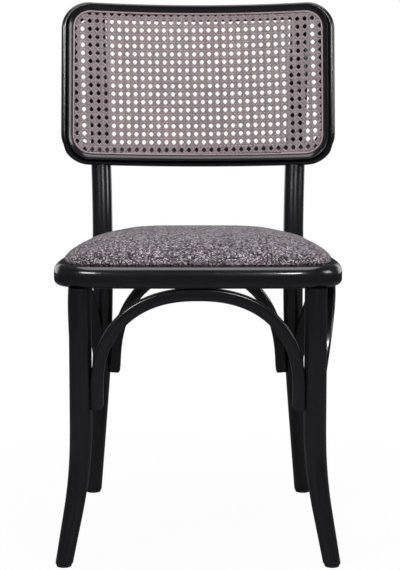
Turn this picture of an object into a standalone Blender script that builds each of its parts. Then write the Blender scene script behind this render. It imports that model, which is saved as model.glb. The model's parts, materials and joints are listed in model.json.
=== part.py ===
"""A dining chair: bentwood legs, hoops and seat ring, a curved back frame with cane webbing, a padded seat.

Metres, +Z up. The front of the chair faces -Y and its left side is at -X.
Heights are above the floor, and Y is first measured from the axes of the front legs.
"""

import math
from collections import namedtuple

import bmesh
import bpy
from mathutils import Matrix, Vector

# Clearances
GAP = 0.0003  # between two pieces that touch
LAP = 0.002  # how deep a hoop's end is coped round its leg

# Seat ring: a tapered superellipse in plan, widest ahead of the middle
SEAT_HEIGHT = 0.421  # underside of the ring
SEAT_FRONT = -0.026
SEAT_REAR = 0.376
SEAT_HALF_WIDTH = 0.2147
SEAT_TAPER = 0.024
SEAT_BELLY = 0.019
SEAT_SQUARENESS = 6.0
CORNER_STEPS = 10  # steps of the outline in each quarter
RING_WIDTH = 0.038
RING_THICKNESS = 0.033
REBATE_WIDTH = 0.018
REBATE_DEPTH = 0.010

# Seat pad: board, foam and cover; the crown follows these scalings of the outline
BOARD_THICKNESS = 0.009
COVER_THICKNESS = 0.0015
COVER_HEM = 0.024
PAD_SOFTENING = 0.0015  # rise of the pad's sides above the board
CROWN_HEIGHT = 0.038  # top of the pad above the ring
CROWN_POWER = 2.6
CROWN_SCALES = (1.0, 0.975, 0.93, 0.86, 0.75, 0.58, 0.36, 0.14)

# Front legs: straight, then swept out near the floor
FRONT_LEG_INSET = 0.0376  # axis in from the seat's half width
FRONT_LEG_RADIUS = 0.0165
FRONT_FOOT_RADIUS = 0.013
FRONT_SWEEP = (0.179, 0.200)  # sideways and forward slope of the foot
FRONT_SWEEP_TOP = 0.210
FRONT_SWEEP_END = 0.080
FRONT_TAPER_TOP = 0.190
TENON_RADIUS = 0.009
TENON_LENGTH = 0.018
TENON_ROOT = 0.004  # part of it inside the leg
FOOT_STEPS = 14

# Back legs, each one rod from foot to top rail: height, value and slope of the axis
BACK_LEG_X = ((0.0, 0.1875, -0.086), (0.21, 0.1697, -0.078), (0.43, 0.1627, 0.0), (0.86, 0.1725, 0.035))
POST_INSET = 0.006  # axis ahead of the ring's rear edge
BACK_FOOT_SPLAY = 0.0818  # axis of the foot behind that edge
BACK_FOOT_SLOPE = -0.27
BACK_LEG_RADIUS = 0.0165
BACK_FOOT_RADIUS = 0.0148
POST_SHORTFALL = 0.0085  # from its end to the top edge of the back frame
POST_END = ((0.0025, 0.0015), (0.0040, 0.0040))  # rise and shrinkage of its rounded end
LEG_SPARE = 0.012  # length that is cut off at the floor
FLOOR_BLOCK = 3.0  # side of the block that levels the feet, for each metre of their reach
LEG_STEPS = 17
LEG_SIDES = 4  # bevel resolution of a round leg

# Back frame: a flat rounded rectangle bent to an arc and leant back
BACK_HALF_WIDTH = 0.2290
BACK_LENGTH = 0.2755
BACK_CORNER = 0.048
BACK_ARC_RADIUS = 0.778
BACK_TILT = math.radians(10.6)
BACK_SETBACK = 0.002  # front of its bottom edge behind the ring's rear edge, at the middle
BACK_Z = 0.587
BACK_DEPTH = 0.0245
BACK_RAIL = 0.0280
BACK_FACE = 0.0161
POST_NOTCH = 0.008
RAIL_STEPS = 11
STILE_STEPS = 4
TURN_STEPS = 5

# Cane webbing and the spline that holds it
LIP_EDGE = 0.0004  # run of the wall between face and groove
LEDGE_DEPTH = 0.0066
GROOVE_WIDTH = 0.0034
GROOVE_DEPTH = 0.005
SPLINE_RISE = 0.0012
CANE_THICKNESS = 0.0016
CANE_COLUMNS = 20
CANE_ROWS = 11
CANE_STRAND = 0.010  # as wide as leaves the same open share as the fine weave

# Hoops between the legs
HOOP_THICKNESS = 0.019
HOOP_WIDTH = 0.022
HOOP_POWER = 2.3
HOOP_STEPS = 13
HOOP_LIFT = 1.15  # how late in its rise a hoop leans towards the ring
FRONT_HOOP_HEIGHTS = (0.236, 0.264)  # lower end and spring of the curve
REAR_HOOP_HEIGHTS = (0.230, 0.250)
SIDE_HOOP_HEIGHTS = (0.236, 0.262)
SIDE_HOOP_BOW = {-1: 0.194, 1: 0.207}  # X of each hoop's top; one bows out further

# Fasteners and glides
SCREW_RADIUS = 0.002
SCREW_HEAD = 0.004
SCREW_TAPER = 0.003  # length of the point, and of the countersunk head
HEAD_EDGE = 0.0004
HOLE_OVERRUN = 0.006  # how far a hole's cutter runs out past its head
HOOP_SCREW_RISE = 0.013  # above the hoop's lower end
HOOP_SCREW_LENGTH = 0.030
RING_SCREW_LENGTH = 0.032
SEAT_SCREW_LENGTH = 0.031
SEAT_SCREWS = ((0.118, -1), (0.105, 1))  # X, and front or rear
TENON_SCREW_LENGTH = 0.021
FRAME_SCREW_LENGTH = 0.035
FRAME_SCREW_INSET = 0.0095  # from the frame's outer edge
BOLT_RADIUS = 0.003
BOLT_HEAD = 0.0065
BOLT_HEAD_HEIGHT = 0.003
BOLT_SINK = 0.0015  # seat of its head below the post's surface
BOLT_SPARE = 0.003  # thread past the nut
BOLT_EDGE = 0.0005
NUT_RADIUS = 0.0062
NUT_HEIGHT = 0.005
WASHER_RADIUS = 0.0075
WASHER_THICKNESS = 0.0014
SPOT_DEPTH = 0.004
GLIDE_THICKNESS = 0.004
GLIDE_MARGIN = 0.0015
GLIDE_EDGE = 0.0016
GLIDE_PIN = 0.0013
GLIDE_PIN_LENGTH = 0.012
SMALL_STEPS = 8  # sides of a screw
BOLT_STEPS = 12  # sides of a bolt, washer or glide
TENON_STEPS = 20

LEFT, RIGHT = -1, 1
SIDE_NAMES = {LEFT: "left", RIGHT: "right"}
X_AXIS = Vector((1, 0, 0))
Y_AXIS = Vector((0, 1, 0))
Z_AXIS = Vector((0, 0, 1))

Hoop = namedtuple("Hoop", "name ends heights across reach legs")


# Scene and collections


def clear_scene():
    for obj in list(bpy.data.objects):
        bpy.data.objects.remove(obj)


def new_collection(name, hidden=False):
    collection = bpy.data.collections.new(name)
    bpy.context.scene.collection.children.link(collection)
    collection.hide_render = hidden
    return collection


def make_part(name, mesh, material, place=None):
    obj = bpy.data.objects.new(name, mesh)
    PARTS.objects.link(obj)
    if not mesh.materials:
        mesh.materials.append(material)
    if place:
        obj.matrix_world = place
    return obj


def make_set(name, mesh, material, places):
    """Like pieces that share one mesh, numbered from 1."""
    return [make_part(f"{name}_{i}", mesh, material, place) for i, place in enumerate(places, 1)]


def make_cutter(name, data):
    obj = bpy.data.objects.new(name, data)
    CUTTERS.objects.link(obj)
    obj.hide_render = True
    obj.display_type = "WIRE"
    return obj


def boolean(obj, other, operation="DIFFERENCE"):
    modifier = obj.modifiers.new(operation.lower(), "BOOLEAN")
    modifier.object = other
    modifier.operation = operation
    modifier.solver = "EXACT"


# Materials


def plain_material(name, colour, roughness, metallic=0.0):
    material = bpy.data.materials.new(name)
    material.use_nodes = True
    material.diffuse_color = (*colour, 1)
    shader = material.node_tree.nodes["Principled BSDF"]
    shader.inputs["Base Color"].default_value = (*colour, 1)
    shader.inputs["Roughness"].default_value = roughness
    shader.inputs["Metallic"].default_value = metallic
    return material


def black_lacquer():
    return plain_material("black_lacquer", (0.012, 0.012, 0.015), 0.28)


def natural_cane():
    return plain_material("natural_cane", (0.40, 0.35, 0.36), 0.55)


def grey_linen():
    return plain_material("grey_linen", (0.20, 0.17, 0.19), 0.9)


def upholstery_foam():
    return plain_material("upholstery_foam", (0.75, 0.70, 0.50), 0.95)


def birch_plywood():
    return plain_material("birch_plywood", (0.55, 0.40, 0.24), 0.6)


def grey_plastic():
    return plain_material("grey_plastic", (0.25, 0.25, 0.25), 0.5)


def zinc_steel():
    return plain_material("zinc_steel", (0.60, 0.60, 0.58), 0.35, 1.0)


# Mesh helpers


def smooth(mesh):
    mesh.polygons.foreach_set("use_smooth", [True] * len(mesh.polygons))


def mesh_from(bm, name, rounded=True):
    bmesh.ops.recalc_face_normals(bm, faces=bm.faces)
    mesh = bpy.data.meshes.new(name)
    bm.to_mesh(mesh)
    bm.free()
    if rounded:
        smooth(mesh)
    return mesh


def loft(name, rings, caps="both", rounded=True):
    """Skin through rings of equally many points: capped at both ends, at the top, or closed on itself."""
    bm = bmesh.new()
    loops = [[bm.verts.new(point) for point in ring] for ring in rings]
    pairs = list(zip(loops, loops[1:]))
    if caps == "closed":
        pairs.append((loops[-1], loops[0]))
    for low, high in pairs:
        for i in range(len(low)):
            j = (i + 1) % len(low)
            bm.faces.new((low[i], low[j], high[j], high[i]))
    if caps == "both":
        bm.faces.new(loops[0])
    if caps in ("both", "top"):
        bm.faces.new(loops[-1])
    return mesh_from(bm, name, rounded)


def rod_curve(name, points, radii):
    """Round rod along points, as a mesh."""
    curve = bpy.data.curves.new(name, "CURVE")
    curve.dimensions = "3D"
    curve.bevel_depth = 1.0
    curve.bevel_resolution = LEG_SIDES
    curve.use_fill_caps = True
    spline = curve.splines.new("POLY")
    spline.points.add(len(points) - 1)
    for item, point, radius in zip(spline.points, points, radii):
        item.co = (*point, 1)
        item.radius = radius
    obj = make_cutter(name + "_curve", curve)
    return baked(obj, name)


def baked(obj, name):
    """The evaluated mesh of a helper object, which is then removed."""
    graph = bpy.context.evaluated_depsgraph_get()
    mesh = bpy.data.meshes.new_from_object(obj.evaluated_get(graph))
    mesh.name = name
    bpy.data.objects.remove(obj)
    bm = bmesh.new()
    bm.from_mesh(mesh)
    bmesh.ops.remove_doubles(bm, verts=bm.verts, dist=0.00001)
    bmesh.ops.recalc_face_normals(bm, faces=bm.faces)
    bm.to_mesh(mesh)
    bm.free()
    smooth(mesh)
    return mesh


def turned(name, outline, steps):
    """Turned solid from (radius, height) points that run down its outer side, then up its bore."""
    mesh = bpy.data.meshes.new(name)
    points = [(radius, 0, height) for radius, height in outline]
    edges = [(i, i + 1) for i in range(len(points) - 1)]
    if outline[0][0] > 0:
        edges.append((len(points) - 1, 0))
    mesh.from_pydata(points, edges, [])
    obj = make_cutter(name + "_profile", mesh)
    screw = obj.modifiers.new("turn", "SCREW")
    screw.steps = steps
    screw.render_steps = steps
    screw.use_merge_vertices = True
    screw.merge_threshold = 0.00001
    return baked(obj, name)


def along(origin, direction):
    """Matrix that puts a turned solid's +Z along a direction."""
    turn = Vector(direction).to_track_quat("Z", "Y").to_matrix().to_4x4()
    return Matrix.Translation(origin) @ turn


def copies(name, mesh, places):
    """One mesh that holds a copy of another at each place."""
    bm = bmesh.new()
    for place in places:
        piece = mesh.copy()
        piece.transform(place)
        bm.from_mesh(piece)
    return mesh_from(bm, name)


# Outline of the seat


def plan_raw(angle):
    """(x, y) of the ring's outer edge: 0 degrees is its right side, -90 its front."""
    power = 2 / SEAT_SQUARENESS
    across = math.copysign(abs(math.cos(angle)) ** power, math.cos(angle))
    depth = math.copysign(abs(math.sin(angle)) ** power, math.sin(angle))
    half = SEAT_HALF_WIDTH - SEAT_TAPER * depth - SEAT_BELLY * depth**2
    middle = (SEAT_REAR + SEAT_FRONT) / 2
    return Vector((half * across, middle + (SEAT_REAR - SEAT_FRONT) / 2 * depth))


def plan_normal(angle):
    step = 0.0005
    tangent = plan_raw(angle + step) - plan_raw(angle - step)
    return Vector((tangent.y, -tangent.x)).normalized()


def plan_point(angle, inset=0.0):
    return plan_raw(angle) - plan_normal(angle) * inset


def plan_angles():
    """Even steps through each quarter, with one more beside the ends, where the sides run long."""
    steps = [0, 0.15, *range(1, CORNER_STEPS), CORNER_STEPS - 0.15]
    quarter = math.pi / 2
    return [(turn + step / CORNER_STEPS) * quarter for turn in range(4) for step in steps]


def plan_outline(inset, z, scale=1.0):
    middle = Vector((0, (SEAT_REAR + SEAT_FRONT) / 2))
    ring = []
    for angle in plan_angles():
        point = middle + (plan_point(angle, inset) - middle) * scale
        ring.append(Vector((point.x, point.y, z)))
    return ring


def nearest_plan_angle(x, y):
    target = Vector((x, y))
    angles = [math.radians(i / 4) for i in range(1440)]
    return min(angles, key=lambda angle: (plan_raw(angle) - target).length)


def plan_angle_at(x, inset, depth_sign):
    """Angle where the inset outline passes a given X, at the front (-1) or the rear (1)."""
    angles = [depth_sign * math.radians(i / 4) for i in range(40, 680)]
    return min(angles, key=lambda angle: abs(plan_point(angle, inset).x - x))


# Axes of the legs


def between(table, z):
    """Smooth value at z from rows of (z, value, slope)."""
    rows = list(zip(table, table[1:]))
    start, end = next((pair for pair in rows if z <= pair[1][0]), rows[-1])
    span = end[0] - start[0]
    t = (z - start[0]) / span
    value = (2 * t**3 - 3 * t**2 + 1) * start[1] + (3 * t**2 - 2 * t**3) * end[1]
    slope = (t**3 - 2 * t**2 + t) * start[2] + (t**3 - t**2) * end[2]
    return value + slope * span


def sweep_out(z):
    """Run of the front leg's sweep at height z, for a slope of 1."""
    if z >= FRONT_SWEEP_TOP:
        return 0.0
    span = FRONT_SWEEP_TOP - FRONT_SWEEP_END
    if z >= FRONT_SWEEP_END:
        return (FRONT_SWEEP_TOP - z) ** 2 / (2 * span)
    return span / 2 + FRONT_SWEEP_END - z


def front_leg_x():
    return SEAT_HALF_WIDTH - FRONT_LEG_INSET


def front_leg_axis(side, z):
    run = sweep_out(z)
    return Vector((side * (front_leg_x() + FRONT_SWEEP[0] * run), -FRONT_SWEEP[1] * run, z))


def front_leg_radius(z):
    share = min(max(z / FRONT_TAPER_TOP, 0.0), 1.0)
    return FRONT_FOOT_RADIUS + (FRONT_LEG_RADIUS - FRONT_FOOT_RADIUS) * share


def post_y(v):
    """Y of a post's axis beside the back frame, v up the frame."""
    arc = BACK_ARC_RADIUS - math.sqrt(BACK_ARC_RADIUS**2 - between(BACK_LEG_X, BACK_Z) ** 2)
    offset = BACK_DEPTH + BACK_LEG_RADIUS - POST_NOTCH - arc
    return SEAT_REAR + BACK_SETBACK + offset * math.cos(BACK_TILT) + v * math.sin(BACK_TILT)


def back_leg_axis(side, z):
    slope = math.tan(BACK_TILT)
    low = (0.0, SEAT_REAR + BACK_FOOT_SPLAY, BACK_FOOT_SLOPE)
    seat = (SEAT_HEIGHT + RING_THICKNESS / 2, SEAT_REAR - POST_INSET, 0.0)
    lap = (BACK_Z, post_y(0), slope)
    top = (BACK_Z + BACK_LENGTH, post_y(0) + BACK_LENGTH * slope, slope)
    return Vector((side * between(BACK_LEG_X, z), between((low, seat, lap, top), z), z))


def back_leg_radius(z):
    share = min(max(z / SEAT_HEIGHT, 0.0), 1.0)
    return BACK_FOOT_RADIUS + (BACK_LEG_RADIUS - BACK_FOOT_RADIUS) * share


# Legs


def leg_axis(leg, z):
    side = LEFT if leg.endswith("left") else RIGHT
    axis = front_leg_axis if leg.startswith("front") else back_leg_axis
    return axis(side, z)


def leg_radius(leg, z):
    return front_leg_radius(z) if leg.startswith("front") else back_leg_radius(z)


def leg_mesh(name, axis, radius, heights, grow=0.0):
    points = [axis(z) for z in heights]
    radii = [radius(z) + grow for z in heights]
    return rod_curve(name, points, radii)


def floor_cutter():
    """Block that levels the feet, one clearance above the glides."""
    side = FLOOR_BLOCK * max(SEAT_REAR + BACK_FOOT_SPLAY, SEAT_HALF_WIDTH)
    bm = bmesh.new()
    bmesh.ops.create_cube(bm, size=side)
    level = GLIDE_THICKNESS + GAP
    bmesh.ops.translate(bm, verts=bm.verts, vec=(0, 0, level - side / 2))
    return make_cutter("floor_cutter", mesh_from(bm, "floor_cutter", False))


def front_leg_heights():
    top = SEAT_HEIGHT - GAP
    sweep = [FRONT_SWEEP_TOP * i / FOOT_STEPS for i in range(-1, FOOT_STEPS + 1)]
    return [*sweep, (FRONT_SWEEP_TOP + top) / 2, top]


def front_leg(side, wood, cutters):
    name = "front_leg_" + SIDE_NAMES[side]
    mesh = leg_mesh(name, lambda z: front_leg_axis(side, z), front_leg_radius, front_leg_heights())
    leg = make_part(name, mesh, wood)
    boolean(leg, cutters["floor"])
    boolean(leg, tenon(side, "_tenon", 0.0), "UNION")
    cut_with(leg, cutters, "glide", "hoop_leg", "tenon_screw")
    return leg


def tenon(side, suffix, grow):
    """Round tenon on top of a front leg, or with some growth its mortise."""
    name = "front_leg_" + SIDE_NAMES[side] + suffix
    low = SEAT_HEIGHT - GAP - TENON_ROOT
    high = SEAT_HEIGHT + TENON_LENGTH + grow
    radius = TENON_RADIUS + grow
    mesh = turned(name, [(0, high), (radius, high), (radius, low), (0, low)], TENON_STEPS)
    mesh.transform(Matrix.Translation((side * front_leg_x(), 0, 0)))
    return make_cutter(name, mesh)


def back_leg_heights():
    top = BACK_Z + (BACK_LENGTH - POST_SHORTFALL) * math.cos(BACK_TILT)
    return [-LEG_SPARE + (top + LEG_SPARE) * i / LEG_STEPS for i in range(LEG_STEPS + 1)]


def back_leg(side, wood, cutters):
    name = "back_leg_" + SIDE_NAMES[side]
    heights = back_leg_heights()
    radii = [back_leg_radius(z) for z in heights]
    top = heights[-1]
    for rise, shrinkage in POST_END:
        heights.append(top + rise)
        radii.append(BACK_LEG_RADIUS - shrinkage)
    points = [back_leg_axis(side, z) for z in heights]
    leg = make_part(name, rod_curve(name, points, radii), wood)
    boolean(leg, cutters["floor"])
    cut_with(leg, cutters, "ring", "frame", "glide", "hoop_leg", "bolt", "frame_screw")
    return leg


def cut_with(obj, cutters, *names):
    for name in names:
        boolean(obj, cutters[name])


# Seat ring


def ring_section(grow=0.0):
    """(outward, up) points of the ring: soft upper edge, small lower edge, rebate for the pad."""
    low = -grow
    high = RING_THICKNESS + grow
    out = grow
    return [
        (out - 0.0045, low),
        (out - 0.0013, low + 0.0013),
        (out, low + 0.0045),
        (out, high - 0.0105),
        (out - 0.0008, high - 0.0063),
        (out - 0.0030, high - 0.0030),
        (out - 0.0063, high - 0.0008),
        (out - 0.0105, high),
        (-RING_WIDTH + REBATE_WIDTH, high),
        (-RING_WIDTH + REBATE_WIDTH, RING_THICKNESS - REBATE_DEPTH),
        (-RING_WIDTH, RING_THICKNESS - REBATE_DEPTH),
        (-RING_WIDTH, low + 0.0025),
        (-RING_WIDTH + 0.0025, low),
    ]


def ring_mesh(name, section):
    rings = []
    for angle in plan_angles():
        edge = plan_raw(angle)
        normal = plan_normal(angle)
        points = [edge + normal * out for out, _ in section]
        rings.append([Vector((p.x, p.y, SEAT_HEIGHT + up)) for p, (_, up) in zip(points, section)])
    return loft(name, rings, caps="closed")


def seat_ring(wood, cutters):
    ring = make_part("seat_ring", ring_mesh("seat_ring", ring_section()), wood)
    boolean(ring, tenon(LEFT, "_mortise", GAP))
    boolean(ring, tenon(RIGHT, "_mortise", GAP))
    cut_with(ring, cutters, "hoop_ring", "seat_screw", "tenon_screw", "bolt", "spot")
    return ring


# Seat pad


def board_level():
    """Underside of the board, on the cover's hem in the rebate."""
    return SEAT_HEIGHT + RING_THICKNESS - REBATE_DEPTH + COVER_THICKNESS + 2 * GAP


def shoulder_level():
    """Where the cover's upright sides turn into its crown, over the board's edge."""
    return board_level() + BOARD_THICKNESS + COVER_THICKNESS + PAD_SOFTENING


def pad_rings(inset, drop, scales):
    """Rings of the crown, lowered by drop inside the cover's outer skin."""
    shoulder = shoulder_level() - drop
    height = SEAT_HEIGHT + RING_THICKNESS + CROWN_HEIGHT - shoulder_level()
    return [plan_outline(inset, shoulder + height * (1 - s**CROWN_POWER), s) for s in scales]


def seat_board(plywood, cutters):
    inset = RING_WIDTH - REBATE_WIDTH + COVER_THICKNESS + 2 * GAP
    low = board_level()
    rings = [plan_outline(inset, low), plan_outline(inset, low + BOARD_THICKNESS)]
    board = make_part("seat_board", loft("seat_board", rings, rounded=False), plywood)
    cut_with(board, cutters, "seat_screw")
    return board


def seat_foam(foam):
    inset = RING_WIDTH - REBATE_WIDTH + COVER_THICKNESS + 2 * GAP
    low = board_level() + BOARD_THICKNESS + GAP
    drop = COVER_THICKNESS + PAD_SOFTENING / 2
    rings = [plan_outline(inset, low)]
    rings += pad_rings(inset, drop, CROWN_SCALES[::2] + CROWN_SCALES[-1:])
    return make_part("seat_foam", loft("seat_foam", rings), foam)


def seat_cover(linen, cutters):
    """Fabric shell: crowned top, sides down into the rebate, hem turned under the board."""
    outer = RING_WIDTH - REBATE_WIDTH + GAP
    under = SEAT_HEIGHT + RING_THICKNESS - REBATE_DEPTH + GAP
    rings = [plan_outline(outer + COVER_HEM, under), plan_outline(outer, under)]
    rings += pad_rings(outer, 0.0, CROWN_SCALES)
    cover = make_part("seat_cover", loft("seat_cover", rings, caps="top"), linen)
    shell = cover.modifiers.new("thickness", "SOLIDIFY")
    shell.thickness = COVER_THICKNESS
    shell.offset = -1
    shell.use_even_offset = True
    cut_with(cover, cutters, "seat_screw")
    return cover


# Back frame, made flat as (across, depth, up) and then bent


def on_back(u, w, v):
    """Place of a flat point on the bent and leaning back: u across, w back, v up."""
    turn = u / BACK_ARC_RADIUS
    x = (BACK_ARC_RADIUS + w) * math.sin(turn)
    y = (BACK_ARC_RADIUS + w) * math.cos(turn) - BACK_ARC_RADIUS
    cosine, sine = math.cos(BACK_TILT), math.sin(BACK_TILT)
    foot = SEAT_REAR + BACK_SETBACK
    return Vector((x, foot + y * cosine + v * sine, BACK_Z + v * cosine - y * sine))


def back_outline():
    """(point, outward direction) round the frame's outer edge, flat: top, side, bottom, side."""
    flat = BACK_HALF_WIDTH - BACK_CORNER
    tall = BACK_LENGTH / 2 - BACK_CORNER
    middle = BACK_LENGTH / 2
    outline = []
    for turn, (corner_u, corner_v) in enumerate(((1, 1), (-1, 1), (-1, -1), (1, -1))):
        centre = Vector((corner_u * flat, middle + corner_v * tall))
        for step in range(TURN_STEPS + 1):
            angle = (turn + step / TURN_STEPS) * math.pi / 2
            outward = Vector((math.cos(angle), math.sin(angle)))
            outline.append((centre + outward * BACK_CORNER, outward))
        count = RAIL_STEPS if turn % 2 == 0 else STILE_STEPS
        length = 2 * (flat if turn % 2 == 0 else tall)
        start, outward = outline[-1]
        forward = Vector((-outward.y, outward.x))
        for step in range(1, count):
            outline.append((start + forward * length * step / count, outward))
    return outline


def back_sweep(name, section):
    """Sweep of (outward, depth) points round the frame's outline."""
    rings = []
    for point, outward in back_outline():
        ring = []
        for out, depth in section:
            flat = point + outward * out
            ring.append(on_back(flat.x, depth, flat.y))
        rings.append(ring)
    return loft(name, rings, caps="closed")


def groove_edges():
    outer = -BACK_FACE - LIP_EDGE
    return outer, outer - GROOVE_WIDTH


def frame_section():
    """Crowned face, lip, groove for the spline, ledge for the cane, softened back edges."""
    groove_outer, groove_inner = groove_edges()
    floor = LEDGE_DEPTH + GROOVE_DEPTH
    return [
        (-0.0030, BACK_DEPTH),
        (0.0, BACK_DEPTH - 0.0030),
        (0.0, 0.0016),
        (-0.0005, 0.0006),
        (-0.0016, 0.0001),
        (-0.0060, 0.0),
        (-0.0110, 0.0012),
        (-BACK_FACE, 0.0044),
        (groove_outer, floor),
        (groove_inner, floor),
        (groove_inner, LEDGE_DEPTH),
        (-BACK_RAIL, LEDGE_DEPTH),
        (-BACK_RAIL, BACK_DEPTH - 0.0015),
        (-BACK_RAIL + 0.0015, BACK_DEPTH),
    ]


def frame_cutter():
    """Back of the frame with its clearance, which notches the posts."""
    section = [
        (GAP, BACK_DEPTH + GAP),
        (GAP, 0.0),
        (-BACK_RAIL - GAP, 0.0),
        (-BACK_RAIL - GAP, BACK_DEPTH + GAP),
    ]
    return make_cutter("frame_cutter", back_sweep("frame_cutter", section))


def back_frame(wood, cutters):
    frame = make_part("back_frame", back_sweep("back_frame", frame_section()), wood)
    cut_with(frame, cutters, "frame_screw")
    return frame


def cane_spline(cane):
    groove_outer, groove_inner = groove_edges()
    outer = groove_outer - GAP
    inner = groove_inner + GAP
    low = LEDGE_DEPTH + GROOVE_DEPTH - GAP
    high = LEDGE_DEPTH - CANE_THICKNESS - SPLINE_RISE
    section = [(outer, low), (outer, high + 0.0006), ((outer + inner) / 2, high)]
    section += [(inner, high + 0.0006), (inner, low)]
    return make_part("cane_spline", back_sweep("cane_spline", section), cane)


def cane_panel(cane):
    """Flat web of crossing strands over the ledge, up to the spline, bent like the frame."""
    inner = groove_edges()[1] - GAP
    half = BACK_HALF_WIDTH + inner
    low = -inner
    high = BACK_LENGTH + inner
    bm = bmesh.new()
    bmesh.ops.create_grid(bm, x_segments=CANE_COLUMNS, y_segments=CANE_ROWS, size=1.0)
    for vert in bm.verts:
        share = (vert.co.y + 1) / 2
        vert.co = Vector((vert.co.x * half, 0, low + (high - low) * share))
    round_web_corners(bm, half, low, high)
    bm.normal_update()
    bmesh.ops.inset_individual(bm, faces=bm.faces, thickness=CANE_STRAND / 2, use_even_offset=True)
    holes = [face for face in bm.faces if len(face.verts) == 4 and is_hole(face)]
    bmesh.ops.delete(bm, geom=holes, context="FACES")
    thicken(bm, LEDGE_DEPTH - GAP - CANE_THICKNESS, LEDGE_DEPTH - GAP)
    return make_part("cane_panel", mesh_from(bm, "cane_panel", False), cane)


def is_hole(face):
    """A face left in the middle of its cell borders none of the sheet's other middles."""
    return all(len(vert.link_edges) == 3 for vert in face.verts)


def round_web_corners(bm, half, low, high):
    """Draws the four corner points of the web in to its rounded outline."""
    radius = BACK_CORNER + groove_edges()[1] - GAP
    middle = (low + high) / 2
    for vert in bm.verts:
        corner_u = half - radius
        corner_v = (high - low) / 2 - radius
        du = abs(vert.co.x) - corner_u
        dv = abs(vert.co.z - middle) - corner_v
        if du > 0 and dv > 0 and math.hypot(du, dv) > radius:
            shrink = radius / math.hypot(du, dv)
            vert.co.x = math.copysign(corner_u + du * shrink, vert.co.x)
            vert.co.z = middle + math.copysign(corner_v + dv * shrink, vert.co.z - middle)


def thicken(bm, front, back):
    """Gives a flat open sheet its two skins and its walls, and bends it on to the back."""
    sheet = list(bm.faces)
    border = [edge for edge in bm.edges if len(edge.link_faces) == 1]
    fronts = list(bm.verts)
    twin = bmesh.ops.duplicate(bm, geom=sheet + list(bm.edges) + fronts)["vert_map"]
    for edge in border:
        a, b = edge.verts
        bm.faces.new((a, b, twin[b], twin[a]))
    for vert in fronts:
        flat = vert.co.copy()
        vert.co = on_back(flat.x, front, flat.z)
        twin[vert].co = on_back(flat.x, back, flat.z)


# Hoops


def hoop_section():
    """(inward, across) points: flat against leg and ring, rounded on the inner side."""
    half = HOOP_THICKNESS / 2
    wide = HOOP_WIDTH / 2
    side = [(-half, wide - 0.003), (-half + 0.003, wide), (0.0005, wide - 0.0005)]
    side += [(half - 0.0045, wide - 0.0035), (half - 0.0006, wide - 0.0080)]
    return side + [(inward, -across) for inward, across in reversed(side)]


def hoop_path(spec):
    """Points from one leg up under the ring and down to the other leg."""
    low, spring = spec.heights
    top = SEAT_HEIGHT - GAP - HOOP_THICKNESS / 2
    path = []
    for step in range(HOOP_STEPS + 1):
        angle = math.pi * step / HOOP_STEPS
        share = math.copysign(abs(math.cos(angle)) ** (2 / HOOP_POWER), math.cos(angle))
        path.append((share, spring + (top - spring) * math.sin(angle) ** (2 / HOOP_POWER)))
    path[0] = (1.0, spring)
    path[-1] = (-1.0, spring)
    path = [(1.0, low), *path, (-1.0, low)]
    points = []
    for share, z in path:
        start, end = spec.ends(spec.legs, z)
        point = start * (1 + share) / 2 + end * (1 - share) / 2
        lift = ((z - low) / (top - low)) ** HOOP_LIFT
        point += spec.across * (spec.reach - point.dot(spec.across)) * lift
        points.append(Vector((point.x, point.y, z)))
    return points


def hoop_mesh(name, points, across, section):
    rings = []
    for i, point in enumerate(points):
        tangent = (points[min(i + 1, len(points) - 1)] - points[max(i - 1, 0)]).normalized()
        inward = across.cross(tangent).normalized()
        side = tangent.cross(inward).normalized()
        rings.append([point + inward * a + side * b for a, b in section])
    return loft(name, rings)


def cross_hoop_ends(legs, z):
    """Ends of the front or rear hoop, against the inner sides of two legs."""
    ends = []
    for leg, side in zip(legs, (LEFT, RIGHT)):
        reach = leg_radius(leg, z) + HOOP_THICKNESS / 2 - LAP
        ends.append(leg_axis(leg, z) - X_AXIS * side * reach)
    return ends


def side_hoop_ends(legs, z):
    """Ends of a side hoop, behind a front leg and ahead of a back leg."""
    ends = []
    for leg, way in zip(legs, (1, -1)):
        reach = leg_radius(leg, z) + HOOP_THICKNESS / 2 - LAP
        ends.append(leg_axis(leg, z) + Y_AXIS * way * reach)
    return ends


def hoop_specs():
    centre = RING_WIDTH / 2
    front = ("front_leg_left", "front_leg_right")
    rear = ("back_leg_left", "back_leg_right")
    specs = [
        Hoop("front_hoop", cross_hoop_ends, FRONT_HOOP_HEIGHTS, Y_AXIS, SEAT_FRONT + centre, front),
        Hoop("rear_hoop", cross_hoop_ends, REAR_HOOP_HEIGHTS, Y_AXIS, SEAT_REAR - centre, rear),
    ]
    for side, name in SIDE_NAMES.items():
        legs = ("front_leg_" + name, "back_leg_" + name)
        reach = side * SIDE_HOOP_BOW[side]
        specs.append(Hoop(name + "_hoop", side_hoop_ends, SIDE_HOOP_HEIGHTS, X_AXIS, reach, legs))
    return specs


def hoop(spec, wood, cutters):
    mesh = hoop_mesh(spec.name, hoop_path(spec), spec.across, hoop_section())
    part = make_part(spec.name, mesh, wood)
    cut_with(part, cutters, *spec.legs, "hoop_leg", "hoop_ring")
    return part


# Fasteners: where they go, their shapes and their holes


def hoop_leg_places():
    """Screws through each hoop's end into its leg."""
    places = []
    for spec in hoop_specs():
        z = spec.heights[0] + HOOP_SCREW_RISE
        path = hoop_path(spec)
        for end, leg in zip((path[0], path[-1]), spec.legs):
            start = Vector((end.x, end.y, z))
            out = (leg_axis(leg, z) - start).normalized()
            places.append(along(start - out * HOOP_THICKNESS / 2, out))
    return places


def hoop_ring_places():
    """Screws up through each hoop's top into the ring."""
    places = []
    for spec in hoop_specs():
        path = hoop_path(spec)
        top = (path[len(path) // 2 - 1] + path[len(path) // 2]) / 2
        top.z = SEAT_HEIGHT - GAP - HOOP_THICKNESS
        places.append(along(top, Z_AXIS))
    return places


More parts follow.
